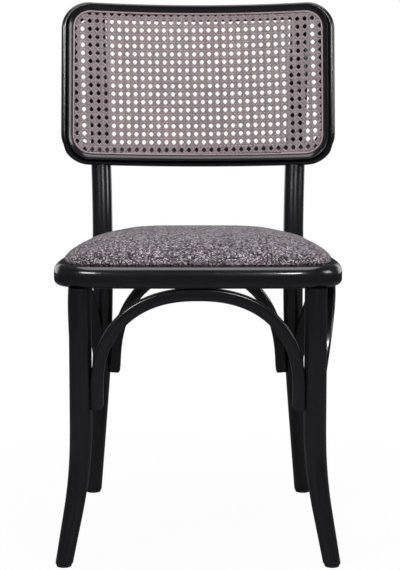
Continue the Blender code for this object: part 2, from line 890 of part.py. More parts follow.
def seat_screw_places():
    places = []
    for x, depth_sign in SEAT_SCREWS:
        inset = RING_WIDTH - REBATE_WIDTH / 2
        for side in (LEFT, RIGHT):
            angle = plan_angle_at(side * x, inset, depth_sign)
            point = plan_point(angle, inset)
            places.append(along(Vector((point.x, point.y, SEAT_HEIGHT)), Z_AXIS))
    return places


def tenon_screw_places():
    """Screws from the ring's inner face into the tenons of the front legs."""
    places = []
    for side in (LEFT, RIGHT):
        angle = nearest_plan_angle(side * front_leg_x(), 0.0)
        start = plan_point(angle, RING_WIDTH)
        out = (Vector((side * front_leg_x(), 0)) - start).normalized()
        z = SEAT_HEIGHT + TENON_LENGTH / 2
        places.append(along(Vector((start.x, start.y, z)), Vector((out.x, out.y, 0))))
    return places


def bolt_line(side):
    """(centre on the post's axis, direction into the ring, distance to the ring's inner face)."""
    z = SEAT_HEIGHT + (RING_THICKNESS - REBATE_DEPTH) / 2
    axis = back_leg_axis(side, z)
    angle = nearest_plan_angle(axis.x, axis.y)
    inner = plan_point(angle, RING_WIDTH)
    line = Vector((inner.x - axis.x, inner.y - axis.y, 0))
    return axis, line.normalized(), line.length


def bolt_places(offset_of):
    places = []
    for side in (LEFT, RIGHT):
        axis, line, reach = bolt_line(side)
        places.append(along(axis + line * offset_of(reach), line))
    return places


def frame_screw_places():
    """Screws through each post into the back frame's rails, from behind."""
    places = []
    for side in (LEFT, RIGHT):
        for v in (FRAME_SCREW_INSET, BACK_LENGTH - FRAME_SCREW_INSET):
            z = BACK_Z + v * math.cos(BACK_TILT)
            axis = back_leg_axis(side, z)
            u = side * BACK_ARC_RADIUS * math.asin(abs(axis.x) / BACK_ARC_RADIUS)
            into = (on_back(u, 0, v) - on_back(u, BACK_DEPTH, v)).normalized()
            places.append(along(axis - into * BACK_LEG_RADIUS, into))
    return places


def screw_mesh(name, length, grow=0.0):
    """Countersunk screw pointing along +Z from its head, or with some growth its hole."""
    head = SCREW_HEAD + grow
    shank = SCREW_RADIUS + grow
    outline = [(0, length + grow), (shank, length - SCREW_TAPER + grow), (shank, SCREW_TAPER)]
    over = -HOLE_OVERRUN if grow else 0.0
    outline += [(head, HEAD_EDGE), (head, over), (0, over)]
    return turned(name, outline, SMALL_STEPS)


def screws(name, length, places, steel):
    return make_set(name, screw_mesh(name, length), steel, places)


def screw_holes(name, length, places):
    return make_cutter(name, copies(name, screw_mesh(name + "_one", length, GAP), places))


def bolt_head_offset():
    return -BACK_LEG_RADIUS + BOLT_SINK


def bolt_tip(reach):
    return reach - SPOT_DEPTH + WASHER_THICKNESS + NUT_HEIGHT + BOLT_SPARE


def bolt_outline(length, grow=0.0):
    head = BOLT_HEAD + grow
    shank = BOLT_RADIUS + grow
    if grow:
        over = HOLE_OVERRUN
        hole = [(0, length + over), (shank, length + over), (shank, grow)]
        return hole + [(head, grow), (head, -over), (0, -over)]
    top = [(0, length), (shank - BOLT_EDGE, length), (shank, length - BOLT_EDGE), (shank, 0.0)]
    dome = [(head, 0.0), (head * 0.86, -BOLT_HEAD_HEIGHT * 0.6), (head * 0.5, -BOLT_HEAD_HEIGHT)]
    return top + dome + [(0, -BOLT_HEAD_HEIGHT * 1.1)]


def bolt_length():
    return bolt_tip(bolt_line(RIGHT)[2]) - bolt_head_offset()


def post_bolts(steel):
    mesh = turned("post_bolt", bolt_outline(bolt_length()), BOLT_STEPS)
    places = bolt_places(lambda reach: bolt_head_offset())
    return make_set("post_bolt", mesh, steel, places)


def bolt_cutter():
    mesh = turned("bolt_hole", bolt_outline(bolt_length(), GAP), BOLT_STEPS)
    places = bolt_places(lambda reach: bolt_head_offset())
    return make_cutter("bolt_holes", copies("bolt_holes", mesh, places))


def spot_cutter():
    """Flat seats for the washers in the ring's inner face."""
    radius = WASHER_RADIUS + 2 * GAP
    mesh = turned("spot", [(0, 0.02), (radius, 0.02), (radius, 0), (0, 0)], BOLT_STEPS)
    places = bolt_places(lambda reach: reach - SPOT_DEPTH)
    return make_cutter("spot_faces", copies("spot_faces", mesh, places))


def ring_outline(outer, inner, length):
    return [(outer, length), (outer, 0), (inner, 0), (inner, length)]


def post_washers(steel):
    outline = ring_outline(WASHER_RADIUS, BOLT_RADIUS + GAP, WASHER_THICKNESS)
    places = bolt_places(lambda reach: reach - SPOT_DEPTH + GAP)
    return make_set("post_washer", turned("post_washer", outline, BOLT_STEPS), steel, places)


def post_nuts(steel):
    bore = (BOLT_RADIUS + GAP) / math.cos(math.pi / 6)
    outline = ring_outline(NUT_RADIUS, bore, NUT_HEIGHT)
    places = bolt_places(lambda reach: reach - SPOT_DEPTH + WASHER_THICKNESS + 2 * GAP)
    return make_set("post_nut", turned("post_nut", outline, 6), steel, places)


# Glides


def glide_specs():
    specs = []
    for side in (LEFT, RIGHT):
        side_name = SIDE_NAMES[side]
        level = GLIDE_THICKNESS
        specs.append(("glide_front_" + side_name, front_leg_axis(side, level), FRONT_FOOT_RADIUS))
        specs.append(("glide_back_" + side_name, back_leg_axis(side, level), BACK_FOOT_RADIUS))
    return specs


def glide(name, axis, foot_radius, plastic):
    radius = foot_radius - GLIDE_MARGIN
    top = GLIDE_THICKNESS
    outline = [(0, top + GLIDE_PIN_LENGTH), (GLIDE_PIN, top + GLIDE_PIN_LENGTH - 0.002)]
    outline += [(GLIDE_PIN, top), (radius, top), (radius, GLIDE_EDGE), (radius - GLIDE_EDGE, 0), (0, 0)]
    place = Matrix.Translation((axis.x, axis.y, 0))
    return make_part(name, turned(name, outline, BOLT_STEPS), plastic, place)


def glide_cutter():
    """Pilot holes for the glides' pins."""
    radius = GLIDE_PIN + GAP
    high = GLIDE_THICKNESS + GLIDE_PIN_LENGTH + GAP
    mesh = turned("glide_hole", [(0, high), (radius, high), (radius, 0), (0, 0)], SMALL_STEPS)
    places = [Matrix.Translation((axis.x, axis.y, 0)) for _, axis, _ in glide_specs()]
    return make_cutter("glide_holes", copies("glide_holes", mesh, places))


# Assembly


def leg_cutters():
    """Legs grown by one clearance, which cope the hoops' ends."""
    found = {}
    for name in SIDE_NAMES.values():
        for leg, heights in (("front_leg_", front_leg_heights()), ("back_leg_", back_leg_heights())):
            axis = lambda z, leg=leg + name: leg_axis(leg, z)
            radius = lambda z, leg=leg: leg_radius(leg, z)
            mesh = leg_mesh(leg + name + "_cope", axis, radius, heights, GAP)
            found[leg + name] = make_cutter(leg + name + "_cope", mesh)
    return found


def ring_cutter():
    """Outside of the ring with its clearance, which notches the posts."""
    section = ring_section(GAP)
    section[8:] = [(-RING_WIDTH, RING_THICKNESS + GAP), (-RING_WIDTH, -GAP)]
    return make_cutter("ring_cutter", ring_mesh("ring_cutter", section))


def all_cutters():
    cutters = leg_cutters()
    cutters["floor"] = floor_cutter()
    cutters["ring"] = ring_cutter()
    cutters["frame"] = frame_cutter()
    cutters["glide"] = glide_cutter()
    cutters["bolt"] = bolt_cutter()
    cutters["spot"] = spot_cutter()
    cutters["hoop_leg"] = screw_holes("hoop_leg_holes", HOOP_SCREW_LENGTH, hoop_leg_places())
    cutters["hoop_ring"] = screw_holes("hoop_ring_holes", RING_SCREW_LENGTH, hoop_ring_places())
    cutters["seat_screw"] = screw_holes("seat_screw_holes", SEAT_SCREW_LENGTH, seat_screw_places())
    cutters["tenon_screw"] = screw_holes("tenon_holes", TENON_SCREW_LENGTH, tenon_screw_places())
    cutters["frame_screw"] = screw_holes("frame_holes", FRAME_SCREW_LENGTH, frame_screw_places())
    return cutters


def centre_on_floor():
    """Shifts every object so that the bottom centre of the whole box is the origin."""
    bpy.context.view_layer.update()
    graph = bpy.context.evaluated_depsgraph_get()
    low = Vector((math.inf,) * 3)
    high = -low
    for obj in PARTS.objects:
        shape = obj.evaluated_get(graph)
        for corner in shape.data.vertices:
            point = obj.matrix_world @ corner.co
            for i in range(3):
                low[i] = min(low[i], point[i])
                high[i] = max(high[i], point[i])
    shift = Vector((-(low.x + high.x) / 2, -(low.y + high.y) / 2, -low.z))
    anchor = bpy.data.objects.new("chair_origin", None)
    PARTS.objects.link(anchor)
    for obj in [*PARTS.objects, *CUTTERS.objects]:
        if obj is not anchor:
            obj.parent = anchor
    anchor.location = shift


def build_chair():
    wood = black_lacquer()
    cane = natural_cane()
    linen = grey_linen()
    steel = zinc_steel()
    plastic = grey_plastic()
    cutters = all_cutters()
    seat_ring(wood, cutters)
    seat_board(birch_plywood(), cutters)
    seat_foam(upholstery_foam())
    seat_cover(linen, cutters)
    for side in (LEFT, RIGHT):
        front_leg(side, wood, cutters)
        back_leg(side, wood, cutters)
    back_frame(wood, cutters)
    cane_spline(cane)
    cane_panel(cane)
    for spec in hoop_specs():
        hoop(spec, wood, cutters)
    for name, axis, foot_radius in glide_specs():
        glide(name, axis, foot_radius, plastic)
    screws("hoop_leg_screw", HOOP_SCREW_LENGTH, hoop_leg_places(), steel)
    screws("hoop_ring_screw", RING_SCREW_LENGTH, hoop_ring_places(), steel)
    screws("seat_screw", SEAT_SCREW_LENGTH, seat_screw_places(), steel)
    screws("tenon_screw", TENON_SCREW_LENGTH, tenon_screw_places(), steel)
    screws("frame_screw", FRAME_SCREW_LENGTH, frame_screw_places(), steel)
    post_bolts(steel)
    post_washers(steel)
    post_nuts(steel)
    centre_on_floor()


clear_scene()
PARTS = new_collection("cane_chair")
CUTTERS = new_collection("cutters", hidden=True)
build_chair()
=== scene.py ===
"""A black bentwood dining chair with a woven cane back and a padded seat, dressed for its picture.

Metres, +Z up. The front of the chair faces -Y and its left side is at -X.
Depths are first measured from the axes of the front legs, as in the chair's own drawing,
and `placed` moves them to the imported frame, whose origin lies on the floor under the chair's middle.
"""

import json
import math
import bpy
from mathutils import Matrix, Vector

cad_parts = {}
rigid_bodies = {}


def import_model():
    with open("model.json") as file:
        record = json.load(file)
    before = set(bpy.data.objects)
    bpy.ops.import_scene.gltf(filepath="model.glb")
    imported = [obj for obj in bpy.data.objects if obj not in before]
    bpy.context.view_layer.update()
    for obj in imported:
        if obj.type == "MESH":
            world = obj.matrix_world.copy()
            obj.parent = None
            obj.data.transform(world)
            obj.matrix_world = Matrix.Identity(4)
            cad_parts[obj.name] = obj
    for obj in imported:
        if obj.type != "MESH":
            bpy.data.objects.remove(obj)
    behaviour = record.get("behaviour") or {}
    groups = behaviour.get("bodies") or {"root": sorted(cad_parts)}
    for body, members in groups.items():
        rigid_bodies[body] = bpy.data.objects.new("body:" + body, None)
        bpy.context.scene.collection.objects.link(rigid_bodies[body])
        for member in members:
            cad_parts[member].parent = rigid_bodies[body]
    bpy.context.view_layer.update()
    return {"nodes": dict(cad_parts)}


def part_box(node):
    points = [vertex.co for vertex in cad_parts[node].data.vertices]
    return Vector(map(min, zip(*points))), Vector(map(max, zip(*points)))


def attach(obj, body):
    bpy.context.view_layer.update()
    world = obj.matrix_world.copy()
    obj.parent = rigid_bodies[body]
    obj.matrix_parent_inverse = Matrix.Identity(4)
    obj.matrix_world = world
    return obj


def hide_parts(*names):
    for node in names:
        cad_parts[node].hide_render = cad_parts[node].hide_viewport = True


bl_info = {
    "name": "Cane chair",
    "version": (1, 0, 0),
    "blender": (4, 5, 0),
    "location": "View3D > Sidebar > Cane chair",
    "description": "Builds the lacquered bentwood, the woven cane back and the padded seat of a dining chair",
    "category": "Object",
}

import bmesh
import bpy
import numpy as np
from bpy.props import FloatProperty, FloatVectorProperty, IntProperty, PointerProperty
from mathutils import Matrix, Vector

for start_object in list(bpy.data.objects):
    bpy.data.objects.remove(start_object)
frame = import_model()

LEFT, RIGHT = -1, 1
SIDE_NAMES = {LEFT: "left", RIGHT: "right"}
X_AXIS = Vector((1, 0, 0))
Y_AXIS = Vector((0, 1, 0))
Z_AXIS = Vector((0, 0, 1))


# Settings


def length(name, default, description):
    return FloatProperty(name=name, description=description, default=default, unit="LENGTH", precision=4)


def angle(name, degrees, description):
    return FloatProperty(name=name, description=description, default=math.radians(degrees), unit="ROTATION")


def share(name, default, description, high=1.0):
    return FloatProperty(name=name, description=description, default=default, min=0.0, max=high)


def count(name, default, description):
    return IntProperty(name=name, description=description, default=default, min=1)


def colour(name, default, description):
    return FloatVectorProperty(
        name=name, description=description, default=default, subtype="COLOR", size=3, min=0.0, max=1.0
    )


class SeatSettings(bpy.types.PropertyGroup):
    height: length("Height", 0.421, "Underside of the seat ring above the floor")
    front: length("Front", -0.026, "Front edge of the ring, from the axes of the front legs")
    rear: length("Rear", 0.376, "Rear edge of the ring, from the axes of the front legs")
    half_width: length("Half width", 0.2147, "Half width of the ring before its taper")
    taper: length("Taper", 0.024, "How much each side draws in from the middle to the rear")
    belly: length("Belly", 0.019, "How much each side draws in towards both ends")
    squareness: share("Squareness", 6.0, "Power of the outline's superellipse", 12.0)
    ring_width: length("Ring width", 0.038, "Width of the ring in plan")
    ring_thickness: length("Ring thickness", 0.033, "Height of the ring")
    top_round: length("Top rounding", 0.0145, "Rounding of the ring's upper outer edge")
    low_round: length("Lower rounding", 0.0075, "Rounding of the ring's lower outer edge")
    rebate_width: length("Rebate width", 0.018, "Width of the step that the pad sits in")
    rebate_depth: length("Rebate depth", 0.010, "Depth of the step that the pad sits in")
    board_thickness: length("Board", 0.009, "Thickness of the board under the foam")
    cover_thickness: length("Cover", 0.0015, "Thickness of the fabric")
    hem: length("Hem", 0.024, "Width of the fabric that is turned under the board")
    crown: length("Crown", 0.0365, "Top of the pad above the ring before the foam pushes it up")
    overhang: length("Overhang", 0.0040, "How far the pad's edge bulges over the ring")
    crown_power: share("Crown power", 3.1, "How flat the middle of the crown is", 6.0)
    crown_fullness: share("Crown fullness", 2.31, "How steeply the crown rises at its edge", 6.0)
    pressure: share("Pressure", 4.0, "Push of the foam in the cloth simulation", 20.0)
    swell: length("Swell", 0.004, "Furthest that the foam may push the fabric")
    cells: count("Cells", 72, "Cells of the pad's mesh along each side")
    steps: count("Steps", 360, "Sections of the ring")


class LegSettings(bpy.types.PropertyGroup):
    inset: length("Inset", 0.0376, "Axis of a front leg in from the seat's half width")
    radius: length("Radius", 0.0171, "Radius of all legs at the seat")
    front_foot: length("Front foot", 0.013, "Radius of a front leg at the floor")
    back_foot: length("Back foot", 0.0148, "Radius of a back leg at the floor")
    taper_top: length("Taper top", 0.190, "Height where a front leg starts to taper")
    sweep_side: share("Sideways sweep", 0.179, "Sideways slope of a front foot")
    sweep_front: share("Forward sweep", 0.200, "Forward slope of a front foot")
    sweep_top: length("Sweep top", 0.210, "Height where a front leg starts to sweep out")
    sweep_end: length("Sweep end", 0.080, "Height below which a front leg is straight again")
    post_inset: length("Post inset", 0.006, "Axis of a post ahead of the ring's rear edge")
    splay: length("Splay", 0.0818, "Axis of a back foot behind the ring's rear edge")
    splay_slope: FloatProperty(name="Splay slope", description="Slope of a back foot", default=-0.27)
    shortfall: length("Shortfall", 0.0130, "From a post's end to the top of the back frame")
    foot_level: length("Foot level", 0.0043, "Underside of the wood above the floor")
    foot_round: length("Foot rounding", 0.0015, "Rounding of the wood at the floor")
    sides: count("Sides", 40, "Points round a leg")
    steps: count("Steps", 90, "Sections along a leg")


class HoopSettings(bpy.types.PropertyGroup):
    thickness: length("Thickness", 0.019, "Size of a hoop in its own plane")
    width: length("Width", 0.022, "Size of a hoop across its plane")
    rounding: length("Rounding", 0.0038, "Rounding of a hoop's edges")
    lap: length("Lap", 0.002, "How deep a hoop's end sits round its leg")
    power: share("Power", 2.3, "Fullness of the arch", 6.0)
    lift: share("Lift", 1.15, "How late in its rise a hoop leans towards the ring", 4.0)
    end_round: length("End rounding", 0.0055, "Rounding of a hoop's lower ends")
    steps: count("Steps", 110, "Sections along a hoop")


class BackSettings(bpy.types.PropertyGroup):
    half_width: length("Half width", 0.2302, "Half width of the back frame, along its bend")
    height: length("Height", 0.2800, "Height of the back frame, up its slope")
    corner: length("Corner", 0.048, "Radius of its corners")
    bend: length("Bend", 0.778, "Radius that it is bent to")
    tilt: angle("Tilt", 10.6, "How far it leans back")
    level: length("Level", 0.587, "Bottom edge above the floor")
    setback: length("Setback", 0.002, "Front of its bottom edge behind the ring's rear edge")
    depth: length("Depth", 0.0245, "Size from front to back")
    rail: length("Rail", 0.0280, "Width of the rails, ledge included")
    face: length("Face", 0.0161, "Width of the rails' crowned face")
    low_ledge: length("Low ledge", 0.0060, "How much wider the bottom rail's ledge is")
    notch: length("Notch", 0.008, "How deep the posts are notched round it")
    ledge: length("Ledge", 0.0066, "Depth of the ledge under the cane")
    groove: length("Groove", 0.0034, "Width of the groove for the spline")
    groove_depth: length("Groove depth", 0.005, "Depth of the groove below the ledge")
    gap: length("Gap", 0.0003, "Clearance between pieces")


class CaneSettings(bpy.types.PropertyGroup):
    pitch_across: length("Pitch across", 0.01266, "Distance between two columns of holes")
    pitch_up: length("Pitch up", 0.01381, "Distance between two rows of holes")
    shift: length("Shift", 0.0010, "Middle hole to the right of the chair's middle")
    first_row: length("First row", 0.0402, "A row of holes above the frame's bottom edge")
    lean: angle("Lean", 1.37, "Lean of the upright strands to the left")
    rise: angle("Rise", 0.70, "Rise of the level strands to the right")
    strand: length("Strand", 0.0028, "Width of a strand")
    thickness: length("Thickness", 0.00050, "Thickness of a strand")
    pair_across: length("Pair across", 0.00145, "Half the distance between the two upright strands of a pair")
    pair_up: length("Pair up", 0.00165, "Half the distance between the two level strands of a pair")
    wave: length("Wave", 0.00042, "How far strands bend round each other")
    diagonal_wave: length("Diagonal wave", 0.00062, "How far slanting strands bend over and under")


class FinishSettings(bpy.types.PropertyGroup):
    lacquer: colour("Lacquer", (0.0072, 0.0072, 0.0092), "Black lacquer on the wood")
    lacquer_grain: colour("Grain", (0.017, 0.0155, 0.017), "Lacquer over raised grain")
    cane_light: colour("Pale cane", (0.43, 0.337, 0.355), "Palest strands")
    cane_dark: colour("Dark cane", (0.165, 0.14, 0.15), "Darkest strands")
    yarn_light: colour("Pale yarn", (0.50, 0.415, 0.475), "Pale yarn of the cover")
    yarn_cool: colour("Cool yarn", (0.48, 0.465, 0.505), "Greyer pale yarn of the cover")
    yarn_middle: colour("Middle yarn", (0.15, 0.122, 0.145), "Middle yarn of the cover")
    yarn_dark: colour("Dark yarn", (0.006, 0.005, 0.007), "Dark yarn of the cover")
    yarn_pitch: length("Yarn pitch", 0.0021, "Distance between two yarns of the cover")
    plywood: colour("Plywood", (0.55, 0.41, 0.26), "Birch plywood of the seat board")
    zinc: colour("Zinc", (0.62, 0.62, 0.60), "Zinc plate on screws and bolts")
    glide: colour("Glide", (0.025, 0.025, 0.027), "Moulded glides under the feet")


class StageSettings(bpy.types.PropertyGroup):
    lens: length("Lens", 0.10949, "Focal length for a picture 36 mm high")
    camera_depth: length("Camera depth", -2.5815, "Camera, from the axes of the front legs")
    camera_height: length("Camera height", 0.7233, "Camera above the floor")
    camera_dip: angle("Camera dip", 6.6, "How far the camera looks down")
    shift: share("Shift", 2 / 570, "Chair left of the picture's middle, in parts of the picture's height")
    floor_size: length("Floor size", 12.0, "Side of the floor")
    backdrop_depth: length("Backdrop depth", 5.6, "Backdrop behind the chair's middle")
    backdrop_height: length("Backdrop height", 2.2, "Height of the backdrop")
    room_light: share("Room light", 0.085, "Brightness of the room's pale walls", 4.0)


GROUPS = {
    "chair_seat": SeatSettings,
    "chair_legs": LegSettings,
    "chair_hoops": HoopSettings,
    "chair_back": BackSettings,
    "chair_cane": CaneSettings,
    "chair_finish": FinishSettings,
    "chair_stage": StageSettings,
}


def settings(name):
    return getattr(bpy.context.scene, "chair_" + name)


# Meshes


def placed():
    """Shift from the drawing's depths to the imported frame."""
    return Vector((0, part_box("seat_ring")[0].y - settings("seat").front, 0))


def added(name, data):
    """New object in the scene."""
    obj = bpy.data.objects.new(name, data)
    bpy.context.scene.collection.objects.link(obj)
    return obj


def meshed(name, verts, faces):
    mesh = bpy.data.meshes.new(name)
    mesh.from_pydata(verts, [], faces)
    return mesh


def keep(mesh, name, domain, places):
    """Stores a place for every corner or point, where the materials find it."""
    stored = mesh.attributes.new(name, "FLOAT_VECTOR", domain)
    stored.data.foreach_set("vector", np.asarray(places, np.float32).ravel())


def skin(name, rings, along, section, closed=False):
    """Closed body through rings of equally many points, with its grain's place kept at every corner.

    along holds each ring's distance down the piece, section each point's place across it.
    """
    rings = np.array([[tuple(point) for point in ring] for ring in rings])
    along, section = np.array(along, float), np.array(section, float)
    number, points = rings.shape[:2]
    i, j = np.mgrid[: number if closed else number - 1, :points]
    after, right = (i + 1) % number, (j + 1) % points
    faces = np.stack([i * points + j, i * points + right, after * points + right, after * points + j], -1)
    faces = faces.reshape(-1, 4).tolist()
    corners = ((i, j), (i, right), (i + 1, right), (i + 1, j))
    grain = np.stack([np.dstack([along[line], section[column]]) for line, column in corners], 2)
    grain = [grain.reshape(-1, 3)]
    if not closed:
        last = (number - 1) * points
        faces += [list(range(points)), list(range(last, last + points))]
        grain += [np.column_stack([np.full(points, end), section]) for end in (along[0], along[-1])]
    mesh = meshed(name, rings.reshape(-1, 3).tolist(), faces)
    keep(mesh, "grain", "CORNER", np.concatenate(grain))
    return facing_out(mesh)


def facing_out(mesh, crease=35):
    """Turns a closed mesh's faces outwards and shades it smooth up to a crease in degrees."""
    bm = bmesh.new()
    bm.from_mesh(mesh)
    bmesh.ops.recalc_face_normals(bm, faces=bm.faces)
    bm.to_mesh(mesh)
    bm.free()
    mesh.polygons.foreach_set("use_smooth", [True] * len(mesh.polygons))
    mesh.set_sharp_from_angle(angle=math.radians(crease))
    return mesh


def piece(name, mesh, material, nodes, place=None):
    """A finished piece on the chair's one body, which stands for the CAD nodes named."""
    obj = added(name, mesh)
    if not mesh.materials:
        mesh.materials.append(material)
    obj.matrix_world = place if place else Matrix.Translation(placed())
    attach(obj, "root")
    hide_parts(*nodes)


def lacquered(name, mesh, node_name):
    """A lacquered piece that stands for one CAD node."""
    piece(name, mesh, shared(lacquer_finish), [node_name])


def rounded(corners, steps=5):
    """(a, b) outline from corners given as (a, b, radius), each turned into an arc."""
    outline = []
    for k, (a, b, radius) in enumerate(corners):
        if radius <= 0:
            outline.append((a, b))
            continue
        here = Vector((a, b))
        before = (Vector(corners[k - 1][:2]) - here).normalized()
        after = (Vector(corners[(k + 1) % len(corners)][:2]) - here).normalized()
        half = before.angle(after) / 2
        reach = radius / math.tan(half)
        centre = here + (before + after).normalized() * (radius / math.sin(half))
        start = here + before * reach - centre
        turn = start.angle_signed(here + after * reach - centre)
        outline += [tuple(centre + turned_by(start, -turn * k / steps)) for k in range(steps + 1)]
    return outline


def turned_by(vector, turn):
    cosine, sine = math.cos(turn), math.sin(turn)
    return Vector((vector.x * cosine - vector.y * sine, vector.x * sine + vector.y * cosine))


def lathe(name, outline, steps):
    """Turned mesh from (radius, height) points that run from one end of the axis to the other."""
    verts, loops, faces = [], [], []
    for radius, height in outline:
        turns = [2 * math.pi * k / steps for k in range(steps if radius > 0 else 1)]
        loops.append(range(len(verts), len(verts) + len(turns)))
        verts += [(radius * math.cos(turn), radius * math.sin(turn), height) for turn in turns]
    for low, high in zip(loops, loops[1:]):
        for k in range(steps):
            corners = [loop[m % len(loop)] for loop, m in ((low, k), (low, k + 1), (high, k + 1), (high, k))]
            faces.append(list(dict.fromkeys(corners)))
    return facing_out(meshed(name, verts, faces))


# Outline of the seat


def plan_raw(seat, turn):
    """(x, y) of the ring's outer edge for one or many turns: 0 is its right side, -90 degrees its front."""
    power = 2 / seat.squareness
    across = np.sign(np.cos(turn)) * np.abs(np.cos(turn)) ** power
    depth = np.sign(np.sin(turn)) * np.abs(np.sin(turn)) ** power
    half = seat.half_width - seat.taper * depth - seat.belly * depth**2
    middle, reach = (seat.rear + seat.front) / 2, (seat.rear - seat.front) / 2
    return np.stack([half * across, middle + reach * depth], -1)


def plan_normal(seat, turn):
    step = 0.0005
    tangent = plan_raw(seat, turn + step) - plan_raw(seat, turn - step)
    normal = np.stack([tangent[..., 1], -tangent[..., 0]], -1)
    return normal / np.linalg.norm(normal, axis=-1, keepdims=True)


def even_turns(seat, start, end, number):
    """Turns that split the outline between two turns into equal lengths."""
    fine = np.linspace(start, end, 4000)
    points = plan_raw(seat, fine)
    run = np.concatenate([[0], np.cumsum(np.linalg.norm(np.diff(points, axis=0), axis=1))])
    return np.interp(np.linspace(0, run[-1], number + 1), run, fine), run[-1]


# Axes of the legs


def between(table, z):
    """Smooth value at z from rows of (z, value, slope)."""
    rows = list(zip(table, table[1:]))
    start, end = next((pair for pair in rows if z <= pair[1][0]), rows[-1])
    span = end[0] - start[0]
    t = (z - start[0]) / span
    value = (2 * t**3 - 3 * t**2 + 1) * start[1] + (3 * t**2 - 2 * t**3) * end[1]
    slope = (t**3 - 2 * t**2 + t) * start[2] + (t**3 - t**2) * end[2]
    return value + slope * span


# Height, distance from the chair's middle and slope of a back leg's axis
BACK_LEG_X = ((0.0, 0.1875, -0.086), (0.21, 0.1697, -0.078), (0.43, 0.1627, 0.0), (0.86, 0.1775, 0.035))


def front_leg_axis(side, z):
    seat, legs = settings("seat"), settings("legs")
    span = legs.sweep_top - legs.sweep_end
    run = 0.0
    if legs.sweep_end <= z < legs.sweep_top:
        run = (legs.sweep_top - z) ** 2 / (2 * span)
    elif z < legs.sweep_end:
        run = span / 2 + legs.sweep_end - z
    x = seat.half_width - legs.inset + legs.sweep_side * run
    return Vector((side * x, -legs.sweep_front * run, z))


def front_leg_radius(z):
    legs = settings("legs")
    grown = min(max(z / legs.taper_top, 0.0), 1.0)
    return legs.front_foot + (legs.radius - legs.front_foot) * grown


def post_depth(v):
    """Depth of a post's axis beside the back frame, v up the frame."""
    seat, legs, back = settings("seat"), settings("legs"), settings("back")
    arc = back.bend - math.sqrt(back.bend**2 - between(BACK_LEG_X, back.level) ** 2)
    offset = back.depth + legs.radius - back.notch - arc
    return seat.rear + back.setback + offset * math.cos(back.tilt) + v * math.sin(back.tilt)


def back_leg_axis(side, z):
    seat, legs, back = settings("seat"), settings("legs"), settings("back")
    slope = math.tan(back.tilt)
    table = (
        (0.0, seat.rear + legs.splay, legs.splay_slope),
        (seat.height + seat.ring_thickness / 2, seat.rear - legs.post_inset, 0.0),
        (back.level, post_depth(0), slope),
        (back.level + back.height, post_depth(0) + back.height * slope, slope),
    )
    return Vector((side * between(BACK_LEG_X, z), between(table, z), z))


def back_leg_radius(z):
    legs = settings("legs")
    grown = min(max(z / settings("seat").height, 0.0), 1.0)
    return legs.back_foot + (legs.radius - legs.back_foot) * grown


def level_ring(axis, z, radius):
    """Level cut, at height z, of a round leg that leans."""
    step = 0.001
    lean = (axis(z + step) - axis(z - step)) / (2 * step)
    lean.z = 0
    stretch = math.sqrt(1 + lean.length_squared)
    first = lean.normalized() if lean.length > 1e-6 else X_AXIS.copy()
    second = Z_AXIS.cross(first)
    sides = settings("legs").sides
    turns = [2 * math.pi * k / sides - math.atan2(first.y, first.x) for k in range(sides)]
    wide, narrow = first * radius * stretch, second * radius
    return [axis(z) + wide * math.cos(turn) + narrow * math.sin(turn) for turn in turns]


def leg_mesh(name, axis, radius, top, dome):
    """Round leg from its levelled foot to its top, which is flat or domed."""
    legs = settings("legs")
    low = legs.foot_level
    rows = [(low, legs.foot_round), (low + legs.foot_round * 0.3, legs.foot_round * 0.3)]
    first = low + legs.foot_round
    rows += [(first + (top - first) * k / legs.steps, 0.0) for k in range(legs.steps + 1)]
    for k in range(1, 7 if dome else 0):
        turn = math.pi / 2 * k / 6.4
        rows.append((top + dome * math.sin(turn), legs.radius * (1 - math.cos(turn))))
    rings = [level_ring(axis, z, radius(min(z, top)) - shrink) for z, shrink in rows]
    turns = [2 * math.pi * k / legs.sides for k in range(legs.sides)]
    section = [(legs.radius * math.cos(turn), legs.radius * math.sin(turn)) for turn in turns]
    return skin(name, rings, [z for z, _ in rows], section)


# Materials


class Wire:
    """A value inside a shader tree. Sums and products of it add the nodes that work them out."""

    def __init__(self, tree, socket):
        self.tree, self.socket = tree, socket

    def math(self, operation, *others):
        return node(self.tree, "Math", dict(enumerate((self, *others))), operation=operation)

    def __add__(self, other):
        return self.math("ADD", other)

    def __sub__(self, other):
        return self.math("SUBTRACT", other)

    def __mul__(self, other):
        return self.math("MULTIPLY", other)

    def __truediv__(self, other):
        return self.math("DIVIDE", other)

    def ramp(self, low, high):
        """0 to 1 as the value goes from low to high."""
        return node(self.tree, "MapRange", {"Value": self, "From Min": low, "From Max": high}, clamp=True)

    def blend(self, first, second):
        """Colour that goes from first to second with the value."""
        return node(self.tree, "Mix", {0: self, 6: first, 7: second}, 2, data_type="RGBA")

    def parts(self):
        first = node(self.tree, "SeparateXYZ", {"Vector": self}).socket
        return [Wire(self.tree, socket) for socket in first.node.outputs]

    def noise(self, scale, detail=2.0, roughness=0.5):
        """Noise at a place, with one scale or one for each axis."""
        place = self
        if isinstance(scale, tuple):
            place, scale = node(self.tree, "Mapping", {"Vector": self, "Scale": scale}), 1.0
        inputs = {"Vector": place, "Scale": scale, "Detail": detail, "Roughness": roughness}
        return node(self.tree, "TexNoise", inputs, "Fac")


def fill(tree, socket, value):
    """Links a wire to a socket, or sets the socket's constant."""
    if isinstance(value, Wire):
        tree.links.new(value.socket, socket)
    elif socket.type == "RGBA":
        socket.default_value = (*value[:3], 1)
    else:
        socket.default_value = value


def node(tree, kind, inputs=None, output=0, **options):
    """Wire from one output of a new shader node with its inputs filled and its options set."""
    made = tree.nodes.new("ShaderNode" + kind)
    for key, value in options.items():
        setattr(made, key, value)
    for key, value in (inputs or {}).items():
        fill(tree, made.inputs[key], value)
    return Wire(tree, made.outputs[output]) if made.outputs else None


def place_at(x, y, z=0.0):
    return node(x.tree, "CombineXYZ", {"X": x, "Y": y, "Z": z})


